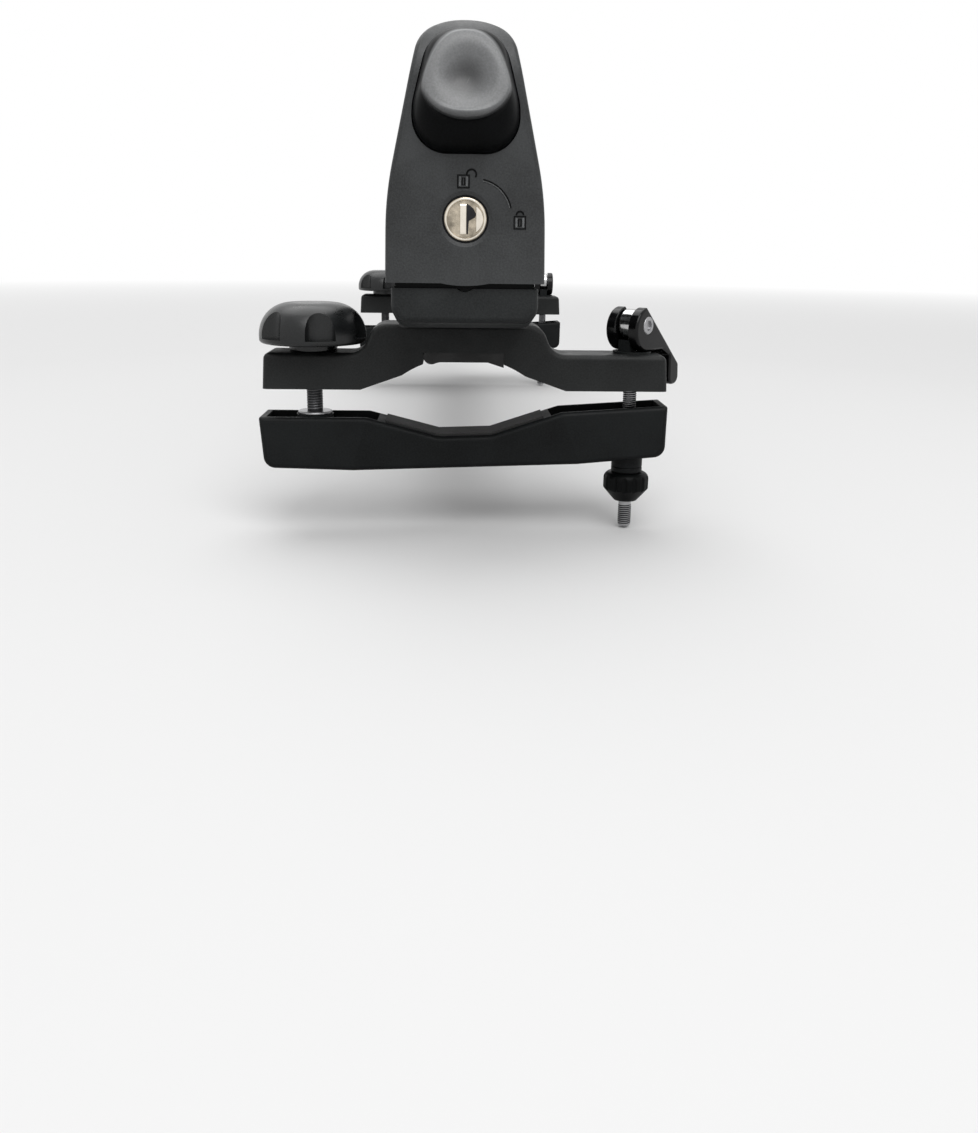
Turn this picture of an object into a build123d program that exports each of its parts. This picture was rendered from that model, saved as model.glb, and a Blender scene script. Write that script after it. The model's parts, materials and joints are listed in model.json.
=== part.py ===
from build123d import *

import os
from math import cos, radians, sin, sqrt

os.makedirs("parts", exist_ok=True)

# Roof ski carrier: two rubber-lined jaws, hinged at one end and latched at the
# other, on two brackets that clamp round one roof bar.
# Millimetres. X runs across the carrier, Y along it from the latch to the
# hinge, Z up. z = 0 is the top of the roof bar, y = 0 is midway between the
# brackets and x = 0 is the middle of the jaws.

# Fits
moving_gap = 0.3        # between pieces that move past each other
running_gap = 0.05      # radial, a shaft in its hole
press_gap = 0.02        # radial, an insert in its bore
slide_gap = 0.1         # an extrusion in its socket or groove

# Brackets
bracket_spacing = 400.0
bracket_depth = 20.0
arm_left = -75.0
arm_right = 77.0
arm_top = 3.0
arm_bottom = -10.5
arm_draft = 0.8
plateau_z = 14.0
flank_left = -35.6
flank_right = 31.2
flank_run = 4.5
flank_radius = 7.0
arch_half = 23.0
arch_spring = -5.0
arch_crown = 2.1
arch_foot = 38.5
bracket_edge = 2.0
bracket_pad_half = 15.0
bracket_pad_flat = 9.0
bracket_pad_top = 3.4
bracket_pad_drop = 1.9
bracket_screw_x = 9.0
bracket_screw_head = 10.0
bracket_screw_head_height = 4.0
bracket_screw_sink = 4.5

# Clamp bars, drawn level and then tilted about the middle of the bar
bar_centre_x = 0.4
bar_rim_z = -18.7
bar_tilt = 1.9
bar_half = 77.4
bar_wall = 2.4
bar_floor = 3.0
bar_height = 19.6
bar_draft = 0.9
bar_corner = 1.8
bar_arm_rise = 2.0
rim_inner = 37.0
rim_drop = 1.4
cradle_half = 10.0
cradle_depth = 9.4
tray_inner = 33.0
clamp_pad_half = 30.0
clamp_pad_depth = 15.0
clamp_pad_thick = 1.6

# Clamp bolt and knob, M6
bolt_x = -56.8
bolt_radius = 2.95
bolt_top = 17.2
bolt_head_flats = 10.0
bolt_head_height = 4.0
bolt_head_sink = 0.5
bolt_boss_radius = 7.0
bolt_boss_top = -21.0
washer_radius = 6.5
washer_thick = 1.1
knob_radius = 20.0
knob_bottom = 6.1
knob_top = 21.0
knob_collar_radius = 9.0
knob_dome_radius = 12.0
knob_lip = 2.0
scallop_count = 6
scallop_radius = 6.3
scallop_pitch = 22.2
scallop_angle = 45.5
insert_radius = 4.5
insert_top = 18.0

# Quick-release rod, M5, with its cam lever
rod_x = 64.5
rod_radius = 2.45
rod_bottom = -65.4
rod_top = 17.0
rod_boss_radius = 6.0
rod_boss_top = -22.0
rod_boss_bottom = -41.0
pivot_z = 13.8
pin_radius = 3.45
pin_half = 7.15
barrel_radius = 6.0
barrel_half = 2.85
cam_radius = 8.2
cam_offset = 1.5
cam_throw = 1.2
lever_half = 7.0
lever_slope = 42.0
lever_line = 5.4
lever_reach = 24.2
lever_tip = (24.8, -10.4)
lever_heel = (17.6, -10.4)
lever_neck = (17.0, 1.4)
lever_throat = 11.5
lever_slot_half = 3.1
lever_edge = 1.0
lever_yaw_front = -42.0
lever_yaw_rear = 0.0
saddle_radius = 7.3
saddle_thick = 0.9
saddle_block_half = 2.6
saddle_block_length = 5.5
thrust_thick = 2.3
thrust_radius = 6.0
nut_radius = 8.8
nut_height = 6.4
nut_cone_height = 4.9
nut_foot_radius = 4.6
nut_flutes = 14

# Lower jaw
base_half = 23.0
base_bottom = plateau_z
base_top = 27.0
base_front = -225.0
base_rear = 236.0
slot_lip = 2.0
slot_open_half = 14.0
slot_half = 21.0
slot_height = 5.0
pad_slot_open_half = 9.0
pad_slot_half = 12.4
pad_slot_height = 2.5
pad_slot_lip = 2.0
t_plate_half_x = 19.0
t_plate_half_y = 8.0
t_plate_thick = 4.0

# End cap of the lower jaw, with the striker
cap_half = 24.7
cap_front = -243.0
cap_rear = -212.0
cap_deck = 28.5
cap_bottom = 14.2
cap_nose_bottom = 17.3
cap_corner = 5.5
cap_nose_edge = 2.2
cap_thumb_radius = 4.0
cap_thumb_depth = 1.1
cheek_half = 12.5
cheek_front = -222.0
cheek_rear = -207.5
striker_bottom = 35.5
striker_thick = 2.5
striker_lip = -216.5
striker_screw_x = 9.5
striker_screw_y = -211.8

# Upper jaw
jaw_half = 18.0
jaw_bottom = 84.0
jaw_top = 102.0
jaw_front = -212.0
jaw_rear = 224.0
jaw_wall = 2.0
jaw_low_radius = 1.5
jaw_high_radius = 7.0
pad_half = 17.0
pad_height = 15.0
pad_wall = 2.5
pad_front = -184.0
pad_rear = 204.0

# Latch cover
cover_front = -245.0
cover_rear = -203.0
cover_bottom = 30.3
cover_lip_half = 8.0
cover_lip_drop = 0.8
cover_half = 26.5
cover_half_mid = 26.0
cover_taper_z = 58.0
cover_taper_radius = 110.0
cover_shoulder_half = 15.2
cover_shoulder_z = 108.6
cover_shoulder_radius = 12.0
cover_peak = 116.2
cover_peak_radius = 20.0
cover_nose_z = 93.0
cover_nose_radius = 22.0
cover_wall = 2.6
cover_edge = 1.6
sleeve_wall = 2.4
sleeve_rear = -186.0

# Push button: each outline as half widths at the bottom, the waist and the top
button_low = (17.2, 71.4)
button_waist = (17.1, 86.0)
button_high = (11.2, 108.6)
button_radii = (11.0, 20.0, 11.0)
face_front = -257.5
face_z = 78.2
face_lean = 12.5
face_low = (15.3, 0.0)
face_waist = (15.4, 13.0)
face_high = (9.8, 27.9)
face_radii = (9.4, 18.0, 7.5)
face_edge = 2.4
button_back = -234.5
button_travel = 5.0
button_flange = 1.5
button_flange_grow = 1.4
button_flange_top = 79.0
button_wall = 4.0
dish_radius = 38.0
dish_depth = 1.7
dish_rise = 17.0

# Hook and its pivot
hook_y = -219.0
hook_z = 68.0
hook_half = 5.5
hook_hub_half = 7.7
hook_hub_radius = 5.5
hook_pin_radius = 2.5
hook_pin_half = 12.0
hook_shank = 4.0
hook_nose_y = -212.5
hook_nose_low = 31.0
hook_tip_y = -232.0
hook_tip_z = 92.0
hook_tip_radius = 2.2
hook_tail_y = -206.9
pivot_cheek_inner = 8.0
pivot_cheek_thick = 2.5
ledge_top = 49.0
ledge_thick = 3.0
spring_y = -210.9
spring_radius = 3.0
spring_wire = 0.45
spring_turns = 6

# Lock
lock_z = 50.9
plug_radius = 7.05
plug_front = -245.2
plug_rear = -227.4
lock_hole_radius = 7.65
lock_sink_width = 1.5
lock_sink_depth = 0.5
lock_housing_radius = 8.8
plug_rim = 1.1
plug_dish = 0.7
shutter_width = 2.2
shutter_height = 9.6
shutter_x = -0.75
keyway_width = 0.55
keyway_depth = 9.0
lock_cam_thick = 1.4
lock_cam_radius = 5.5
lock_finger_radius = 8.6
lock_finger_half = 1.5

# Hinge end
hinge_y = 246.0
hinge_z = 58.0
hinge_base_front = 214.0
hinge_base_rear = 262.0
ear_inner = 17.2
ear_radius = 11.0
hinge_pin_radius = 4.0
hinge_pin_head = 6.5
hinge_arm_radius = 9.0
hinge_sleeve_front = 206.0

# Small screws that hold the end pieces to the extrusions
screw_radius = 1.95
screw_head_radius = 3.6
screw_head_height = 2.2
profile_screw_x = 17.0
profile_screw_y = (-218.5, 221.0)
jaw_screw_y = (-194.0, 214.0)
jaw_screw_z = 87.8
jaw_screw_length = 7.0


def facing_front(y):
    """A plane across the carrier at y: sketch x is X, sketch y is Z, normal towards the latch end."""
    return Plane(origin=(0, y, 0), x_dir=(1, 0, 0), z_dir=(0, -1, 0))


def side_plane(x=0.0):
    """A plane along the carrier at x: sketch x is Y, sketch y is Z."""
    return Plane(origin=(x, 0, 0), x_dir=(0, 1, 0), z_dir=(1, 0, 0))


def round_edges(piece, radius):
    """The piece's circular edges of one radius."""
    return piece.edges().filter_by(GeomType.CIRCLE).filter_by(lambda e: abs(e.radius - radius) < 0.01)


def save(piece, name):
    piece.part.label = name
    export_step(piece.part, f"parts/{name}.step")


# Upper brackets
def bracket(y_mid):
    front = y_mid - bracket_depth / 2
    with BuildPart() as piece:
        with BuildSketch(facing_front(front)):
            with BuildLine():
                top = FilletPolyline(
                    (arm_left, arm_bottom),
                    (arm_left + arm_draft, arm_top),
                    (flank_left - flank_run / 2, arm_top),
                    (flank_left + flank_run / 2, plateau_z),
                    (flank_right - flank_run / 2, plateau_z),
                    (flank_right + flank_run / 2, arm_top),
                    (arm_right - arm_draft, arm_top),
                    (arm_right, arm_bottom),
                    radius=[2.5, flank_radius, flank_radius, flank_radius, flank_radius, 2.5],
                )
                Polyline(top @ 1, (arch_foot, arm_bottom), (arch_half, arch_spring))
                ThreePointArc((arch_half, arch_spring), (0, arch_crown), (-arch_half, arch_spring))
                Polyline((-arch_half, arch_spring), (-arch_foot, arm_bottom), top @ 0)
            make_face()
        extrude(amount=-bracket_depth)
        rims = piece.edges().filter_by(
            lambda e: abs(abs(e.center().Y - y_mid) - bracket_depth / 2) < 0.01
            and e.center().Z > (arm_top + arm_bottom) / 2
        )
        rims = rims.filter_by(lambda e: e.length > 0.5)
        fillet([e for e in rims if e.center().Z > arm_bottom + 2 and not crosses_arch(e)], bracket_edge)
        with BuildSketch(facing_front(front)):
            with Locations((0, bracket_pad_top / 2 - 5)):
                Rectangle(2 * (bracket_pad_half + slide_gap), bracket_pad_top + 10)
        extrude(amount=-bracket_depth, mode=Mode.SUBTRACT)
        with Locations((0, y_mid, plateau_z)):
            with Locations((-bracket_screw_x, 0, 0), (bracket_screw_x, 0, 0)):
                Hole(bolt_radius + 0.3)
        with BuildSketch(Plane.XY.offset(bracket_pad_top)):
            with Locations((-bracket_screw_x, y_mid), (bracket_screw_x, y_mid)):
                Circle(bracket_screw_head / 2 + 0.25)
        extrude(amount=bracket_screw_sink, mode=Mode.SUBTRACT)
        with Locations((bolt_x, y_mid, arm_top)):
            Hole(bolt_radius + 0.35)
        with Locations((rod_x, y_mid, arm_top)):
            Hole(rod_radius + 0.35)
    return piece


def crosses_arch(edge):
    """True for the edges of the underside, which stay crisp."""
    middle = edge.center()
    return abs(middle.X) < arch_foot and middle.Z < arch_crown + 0.5


def bracket_pad(y_mid):
    """Rubber strip in the arch, flat at its crown where it bears on the roof bar."""
    with BuildPart() as piece:
        with BuildSketch(facing_front(y_mid - bracket_depth / 2)):
            with BuildLine():
                FilletPolyline(
                    (-bracket_pad_half, bracket_pad_top),
                    (-bracket_pad_half, -bracket_pad_drop),
                    (-bracket_pad_flat, 0),
                    (bracket_pad_flat, 0),
                    (bracket_pad_half, -bracket_pad_drop),
                    (bracket_pad_half, bracket_pad_top),
                    radius=[0.8, 3, 3, 0.8, 0, 0],
                    close=True,
                )
            make_face()
        extrude(amount=-bracket_depth)
    return piece


# Clamp bars
def bar_plane(y):
    """The clamp bar's own plane at y, tilted so that the knob's side hangs lower."""
    lean = radians(bar_tilt)
    return Plane(
        origin=(bar_centre_x, y, bar_rim_z), x_dir=(cos(lean), 0, sin(lean)), z_dir=(0, -1, 0)
    )


bar_bottom_end = -bar_height
bar_bottom_mid = -bar_height - bar_arm_rise
bar_bottom_x = 43.0


def bar_floor_z(x):
    """Height of the bar's underside at x, in the carrier's frame."""
    lean = radians(bar_tilt)
    along = (x - bar_centre_x) / cos(lean)
    share = (abs(along) - bar_bottom_x) / (bar_half - bar_draft - bar_bottom_x)
    down = bar_bottom_mid + bar_arm_rise * max(0.0, share)
    return bar_rim_z + along * sin(lean) + down * cos(lean)


def below_the_rim(edge):
    """True for the end and underside edges of a clamp bar's front and back."""
    middle = edge.center()
    return middle.Z < bar_rim_z - bar_height * 0.7 or abs(middle.X - bar_centre_x) > bar_half - bar_draft - 1


def clamp_bar(y_mid):
    front = y_mid - bracket_depth / 2
    bottom_end = (bar_half - bar_draft, bar_bottom_end)
    right = [(rim_inner, -rim_drop), (bar_half, 0), bottom_end, (bar_bottom_x, bar_bottom_mid)]
    left = [(-x, z) for x, z in reversed(right)]
    cradle = [(-cradle_half, -cradle_depth), (cradle_half, -cradle_depth)]
    with BuildPart() as piece:
        with BuildSketch(bar_plane(front)):
            with BuildLine():
                FilletPolyline(
                    cradle + right + left,
                    radius=[6, 6, 4, 0.8, 4.5, 0, 0, 4.5, 0.8, 4],
                    close=True,
                )
            make_face()
        extrude(amount=-bracket_depth)
        outlines = piece.edges().filter_by(Axis.Y, reverse=True)
        fillet(outlines.filter_by(below_the_rim), bar_corner)
        # Open trays in both arms
        for side in (-1, 1):
            with BuildSketch(bar_plane(front + bar_wall)):
                with BuildLine():
                    FilletPolyline(
                        (side * tray_inner, 6),
                        (side * tray_inner, bar_bottom_mid + bar_floor),
                        (side * bar_bottom_x, bar_bottom_mid + bar_floor),
                        (side * (bar_half - bar_draft - bar_wall), bar_bottom_end + bar_floor),
                        (side * (bar_half - bar_wall), 6),
                        radius=[2.5, 0, 2.5, 0, 0],
                        close=True,
                    )
                make_face()
            extrude(amount=-(bracket_depth - 2 * bar_wall), mode=Mode.SUBTRACT)
        # Bosses round the bolt and the rod
        for x, radius, top in (
            (bolt_x, bolt_boss_radius, bolt_boss_top),
            (rod_x, rod_boss_radius, rod_boss_top),
        ):
            start = bar_floor_z(x) + bar_floor / 2
            with BuildSketch(Plane.XY.offset(start)):
                with Locations((x, y_mid)):
                    Circle(radius)
            extrude(amount=top - start)
        with BuildSketch(Plane.XY.offset(rod_boss_bottom)):
            with Locations((rod_x, y_mid)):
                Circle(rod_boss_radius)
        extrude(amount=bar_floor_z(rod_x) + bar_floor / 2 - rod_boss_bottom)
        # Holes, and the hexagon that holds the bolt's head
        with Locations((bolt_x, y_mid, bolt_boss_top)):
            Hole(bolt_radius + 0.35)
        with Locations((rod_x, y_mid, rod_boss_top)):
            Hole(rod_radius + 0.35)
        with BuildSketch(Plane.XY.offset(bolt_head_bottom - 6)):
            with Locations((bolt_x, y_mid)):
                RegularPolygon(bolt_head_flats / 2 + slide_gap, 6, major_radius=False)
        extrude(amount=bolt_head_height + 6, mode=Mode.SUBTRACT)
        # Recess for the cradle's rubber
        with BuildSketch(bar_plane(y_mid - clamp_pad_depth / 2 - slide_gap)):
            with BuildLine():
                Polyline(cradle_band(clamp_pad_half + slide_gap, 0, 6), close=True)
            make_face()
        extrude(amount=-(clamp_pad_depth + 2 * slide_gap), mode=Mode.SUBTRACT)
    return piece


def cradle_band(half, low, high):
    """Outline of a strip that follows the cradle, from low to high above its floor."""
    slope = (cradle_depth - rim_drop) / (rim_inner - cradle_half)
    rise = slope * (half - cradle_half)
    floor = -cradle_depth - clamp_pad_thick / 2
    return [
        (-half, floor + rise + low),
        (-cradle_half, floor + low),
        (cradle_half, floor + low),
        (half, floor + rise + low),
        (half, floor + rise + high),
        (cradle_half, floor + high),
        (-cradle_half, floor + high),
        (-half, floor + rise + high),
    ]


def clamp_pad(y_mid):
    with BuildPart() as piece:
        with BuildSketch(bar_plane(y_mid - clamp_pad_depth / 2)):
            with BuildLine():
                Polyline(cradle_band(clamp_pad_half, 0, clamp_pad_thick), close=True)
            make_face()
        extrude(amount=-clamp_pad_depth)
    return piece


# Clamp bolt and its knob
bolt_head_bottom = bar_floor_z(bolt_x) + bolt_head_sink


def clamp_bolt(y_mid):
    with BuildPart() as piece:
        with BuildSketch(Plane.XY.offset(bolt_head_bottom)):
            with Locations((bolt_x, y_mid)):
                RegularPolygon(bolt_head_flats / 2, 6, major_radius=False)
        extrude(amount=bolt_head_height)
        with BuildSketch(Plane.XY.offset(bolt_head_bottom + bolt_head_height)):
            with Locations((bolt_x, y_mid)):
                Circle(bolt_radius)
        extrude(amount=bolt_top - bolt_head_bottom - bolt_head_height)
        chamfer(piece.edges().sort_by(Axis.Z)[-1], 0.6)
    return piece


def bolt_washer(y_mid):
    with BuildPart() as piece:
        with BuildSketch(Plane.XY.offset(bolt_boss_top)):
            with Locations((bolt_x, y_mid)):
                Circle(washer_radius)
                Circle(bolt_radius + running_gap, mode=Mode.SUBTRACT)
        extrude(amount=washer_thick)
        fillet(round_edges(piece, washer_radius), 0.4)
    return piece


def knob(y_mid):
    seat = arm_top + slide_gap
    with BuildPart() as piece:
        with BuildSketch(Plane(origin=(bolt_x, y_mid, 0), x_dir=(1, 0, 0), z_dir=(0, -1, 0))):
            with BuildLine():
                FilletPolyline(
                    (0, seat),
                    (knob_collar_radius, seat),
                    (knob_collar_radius, knob_bottom),
                    (knob_radius, knob_bottom),
                    (knob_radius, knob_top),
                    (0, knob_top),
                    radius=[0, 0.6, 0.6, 1.4, knob_dome_radius, 0],
                    close=True,
                )
            make_face()
        revolve(axis=Axis((bolt_x, y_mid, 0), (0, 0, 1)))
        with BuildSketch(Plane.XY.offset(knob_bottom + knob_lip)):
            with Locations((bolt_x, y_mid)):
                with PolarLocations(scallop_pitch, scallop_count, start_angle=scallop_angle):
                    Circle(scallop_radius)
        extrude(amount=knob_top, mode=Mode.SUBTRACT)
        with BuildSketch(Plane.XY.offset(seat)):
            with Locations((bolt_x, y_mid)):
                Circle(insert_radius + press_gap)
        extrude(amount=insert_top - seat, mode=Mode.SUBTRACT)
    return piece


def knob_insert(y_mid):
    """Threaded brass bush moulded into the knob."""
    seat = arm_top + slide_gap
    with BuildPart() as piece:
        with BuildSketch(Plane.XY.offset(seat)):
            with Locations((bolt_x, y_mid)):
                Circle(insert_radius)
                Circle(bolt_radius + running_gap, mode=Mode.SUBTRACT)
        extrude(amount=insert_top - seat - slide_gap)
    return piece


# Quick-release rod and lever
def lever_plane(y_mid, yaw, out=0.0):
    """The plane that the lever swings in: sketch x points along the closed lever, sketch y is Z."""
    turn = radians(yaw)
    pin_axis = Vector(cos(turn), sin(turn), 0)
    origin = Vector(rod_x, y_mid, 0) + pin_axis * out
    return Plane(origin=origin, x_dir=(-sin(turn), cos(turn), 0), z_dir=pin_axis)


def quick_lever(y_mid, yaw):
    """Cam lever: two round cheeks, cut by the line of the arm's back, and a paddle beside the bracket."""
    cam_z = pivot_z - cam_offset
    lean = radians(lever_slope)
    foot = Vector(sin(lean), cos(lean)) * lever_line + Vector(0, cam_z)
    down = Vector(cos(lean), -sin(lean))
    crest = foot - down * sqrt(cam_radius**2 - lever_line**2)
    end = foot + down * ((lever_reach - foot.X) / cos(lean))
    plane = lever_plane(y_mid, yaw)
    with BuildPart() as piece:
        with BuildSketch(lever_plane(y_mid, yaw, -lever_half)):
            with BuildLine():
                arm = FilletPolyline(
                    (crest.X, crest.Y),
                    (end.X, end.Y),
                    lever_tip,
                    lever_heel,
                    lever_neck,
                    (lever_throat, cam_z - cam_radius),
                    (0, cam_z - cam_radius),
                    radius=[2.0, 3.2, 3.0, 1.2, 3.0],
                )
                ThreePointArc(arm @ 1, (-cam_radius, cam_z), arm @ 0)
            make_face()
        extrude(amount=2 * lever_half)
        with BuildSketch(lever_plane(y_mid, yaw, -lever_slot_half)):
            with Locations((0, pivot_z)):
                Circle(cam_radius + cam_offset + 0.6)
            with Locations((-2, cam_z / 2)):
                Rectangle(18, cam_z)
        extrude(amount=2 * lever_slot_half, mode=Mode.SUBTRACT)
        cheeks = piece.faces().sort_by(Axis(plane.origin, plane.z_dir))
        fillet(cheeks[-1].outer_wire().edges() + cheeks[0].outer_wire().edges(), lever_edge)
        with BuildSketch(lever_plane(y_mid, yaw, -2 * lever_half)):
            with Locations((0, pivot_z)):
                Circle(pin_radius + running_gap)
        extrude(amount=4 * lever_half, mode=Mode.SUBTRACT)
    return piece


def lever_pin(y_mid, yaw):
    """Cross pin, drilled for the rod, with hollow ends."""
    with BuildPart() as piece:
        with BuildSketch(lever_plane(y_mid, yaw, -pin_half)):
            with Locations((0, pivot_z)):
                Circle(pin_radius)
        extrude(amount=2 * pin_half)
        chamfer(piece.edges(), 0.35)
        for side in (-1, 1):
            with BuildSketch(lever_plane(y_mid, yaw, side * (pin_half - 0.8))):
                with Locations((0, pivot_z)):
                    Circle(pin_radius * 0.55)
            extrude(amount=side * 2, mode=Mode.SUBTRACT)
        with Locations((rod_x, y_mid, pivot_z + 6)):
            Hole(rod_radius + running_gap)
    return piece


def rod_barrel(y_mid, yaw):
    """Barrel between the lever's cheeks, on the pin and on the rod's upper end."""
    with BuildPart() as piece:
        with BuildSketch(lever_plane(y_mid, yaw, -barrel_half)):
            with Locations((0, pivot_z)):
                Circle(barrel_radius)
        extrude(amount=2 * barrel_half)
        fillet(piece.edges(), 0.8)
        with BuildSketch(lever_plane(y_mid, yaw, -barrel_half)):
            with Locations((0, pivot_z)):
                Circle(pin_radius + press_gap)
        extrude(amount=2 * barrel_half, mode=Mode.SUBTRACT)
        with BuildSketch(Plane.XY.offset(rod_top + slide_gap)):
            with Locations((rod_x, y_mid)):
                Circle(rod_radius + running_gap)
        extrude(amount=-12, mode=Mode.SUBTRACT)
    return piece


def quick_rod(y_mid):
    with BuildPart() as piece:
        with BuildSketch(Plane.XY.offset(rod_bottom)):
            with Locations((rod_x, y_mid)):
                Circle(rod_radius)
        extrude(amount=rod_top - rod_bottom)
        chamfer(piece.edges(), 0.5)
    return piece


def saddle_washer(y_mid, yaw):
    """Plastic washer under the cam, with a cradle for the barrel."""
    with BuildPart() as piece:
        with BuildSketch(Plane.XY.offset(arm_top)):
            with Locations((rod_x, y_mid)):
                Circle(saddle_radius)
        extrude(amount=saddle_thick)
        with BuildSketch(lever_plane(y_mid, yaw, -saddle_block_half)):
            with Locations((0, (arm_top + pivot_z) / 2)):
                Rectangle(2 * saddle_block_length, pivot_z - arm_top)
        extrude(amount=2 * saddle_block_half)
        with BuildSketch(lever_plane(y_mid, yaw, -lever_half)):
            with Locations((0, pivot_z - cam_throw - moving_gap)):
                Circle(barrel_radius + 0.1)
            with Locations((0, pivot_z + 4.5)):
                Rectangle(40, 20)
        extrude(amount=2 * lever_half, mode=Mode.SUBTRACT)
        with Locations((rod_x, y_mid, arm_top + 10)):
            Hole(rod_radius + 0.35)
    return piece


def thrust_washer(y_mid):
    top = rod_boss_bottom - slide_gap
    with BuildPart() as piece:
        with BuildSketch(Plane.XY.offset(top - thrust_thick)):
            with Locations((rod_x, y_mid)):
                Circle(thrust_radius)
                Circle(rod_radius + running_gap, mode=Mode.SUBTRACT)
        extrude(amount=thrust_thick)
        fillet(round_edges(piece, thrust_radius), 0.5)
    return piece


def quick_nut(y_mid):
    """Fluted hand nut with a conical foot."""
    top = rod_boss_bottom - 2 * slide_gap - thrust_thick
    low = top - nut_height
    with BuildPart() as piece:
        with BuildSketch(Plane(origin=(rod_x, y_mid, 0), x_dir=(1, 0, 0), z_dir=(0, -1, 0))):
            with BuildLine():
                FilletPolyline(
                    (rod_radius + running_gap, top),
                    (nut_radius, top),
                    (nut_radius, low),
                    (nut_foot_radius, low - nut_cone_height),
                    (rod_radius + running_gap, low - nut_cone_height),
                    radius=[1.2, 2.6, 1.0, 0, 0],
                    close=True,
                )
            make_face()
        revolve(axis=Axis((rod_x, y_mid, 0), (0, 0, 1)))
        with BuildSketch(Plane.XY.offset(low - 1)):
            with Locations((rod_x, y_mid)):
                with PolarLocations(nut_radius + 0.6, nut_flutes):
                    Circle(1.2)
        extrude(amount=nut_height + 2, mode=Mode.SUBTRACT)
    return piece


for end, y_mid, yaw in (
    ("front", -bracket_spacing / 2, lever_yaw_front),
    ("rear", bracket_spacing / 2, lever_yaw_rear),
):
    save(bracket(y_mid), f"{end}_bracket")
    save(bracket_pad(y_mid), f"{end}_bracket_pad")
    save(clamp_bar(y_mid), f"{end}_clamp_bar")
    save(clamp_pad(y_mid), f"{end}_clamp_pad")
    save(clamp_bolt(y_mid), f"{end}_clamp_bolt")
    save(bolt_washer(y_mid), f"{end}_bolt_washer")
    save(knob(y_mid), f"{end}_knob")
    save(knob_insert(y_mid), f"{end}_knob_insert")
    save(quick_lever(y_mid, yaw), f"{end}_quick_lever")
    save(lever_pin(y_mid, yaw), f"{end}_lever_pin")
    save(rod_barrel(y_mid, yaw), f"{end}_rod_barrel")
    save(quick_rod(y_mid), f"{end}_quick_rod")
    save(saddle_washer(y_mid, yaw), f"{end}_saddle_washer")
    save(thrust_washer(y_mid), f"{end}_thrust_washer")
    save(quick_nut(y_mid), f"{end}_quick_nut")

# Screws and T-plates that hold the brackets to the lower jaw
t_plate_bottom = base_bottom + slot_lip
with BuildPart() as bracket_t_plates:
    with BuildSketch(Plane.XY.offset(t_plate_bottom)):
        with Locations((0, -bracket_spacing / 2), (0, bracket_spacing / 2)):
            Rectangle(2 * t_plate_half_x, 2 * t_plate_half_y)
            with Locations((-bracket_screw_x, 0), (bracket_screw_x, 0)):
                Circle(bolt_radius + running_gap, mode=Mode.SUBTRACT)
    extrude(amount=t_plate_thick)
save(bracket_t_plates, "bracket_t_plates")

screw_seat = bracket_pad_top + bracket_screw_sink
with BuildPart() as bracket_screws:
    with BuildSketch(Plane.XY.offset(screw_seat - bracket_screw_head_height)):
        with Locations((0, -bracket_spacing / 2), (0, bracket_spacing / 2)):
            with Locations((-bracket_screw_x, 0), (bracket_screw_x, 0)):
                Circle(bracket_screw_head / 2)
                RegularPolygon(2.5, 6, major_radius=False, mode=Mode.SUBTRACT)
    extrude(amount=bracket_screw_head_height)
    with BuildSketch(Plane.XY.offset(screw_seat - 1.5)):
        with Locations((0, -bracket_spacing / 2), (0, bracket_spacing / 2)):
            with Locations((-bracket_screw_x, 0), (bracket_screw_x, 0)):
                Circle(bolt_radius)
    extrude(amount=t_plate_bottom + t_plate_thick + 0.6 - screw_seat + 1.5)
save(bracket_screws, "bracket_screws")

# Lower jaw: extrusion with a channel for the T-plates and a groove for the pad
with BuildPart() as lower_profile:
    with BuildSketch(facing_front(base_front)):
        with Locations((0, (base_bottom + base_top) / 2)):
            RectangleRounded(2 * base_half, base_top - base_bottom, 1.5)
        channel_mid = base_bottom + slot_lip + slot_height / 2
        with Locations((0, channel_mid)):
            Rectangle(2 * slot_half, slot_height, mode=Mode.SUBTRACT)
        with Locations((0, base_bottom)):
            Rectangle(2 * slot_open_half, 2 * slot_lip + 1, mode=Mode.SUBTRACT)
        groove_mid = base_top - pad_slot_lip - pad_slot_height / 2
        with Locations((0, groove_mid)):
            Rectangle(2 * pad_slot_half, pad_slot_height, mode=Mode.SUBTRACT)
        with Locations((0, base_top)):
            Rectangle(2 * pad_slot_open_half, 2 * pad_slot_lip + 1, mode=Mode.SUBTRACT)
        side_x = (pad_slot_half + slot_half + 1) / 2
        with Locations((-side_x, groove_mid), (side_x, groove_mid)):
            Rectangle(slot_half - pad_slot_half - 2, pad_slot_height, mode=Mode.SUBTRACT)
    extrude(amount=-(base_rear - base_front))
    with Locations(*[(x, y, base_top) for y in profile_screw_y for x in (-profile_screw_x, profile_screw_x)]):
        Hole(screw_radius + running_gap, depth=6)
save(lower_profile, "lower_profile")


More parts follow.
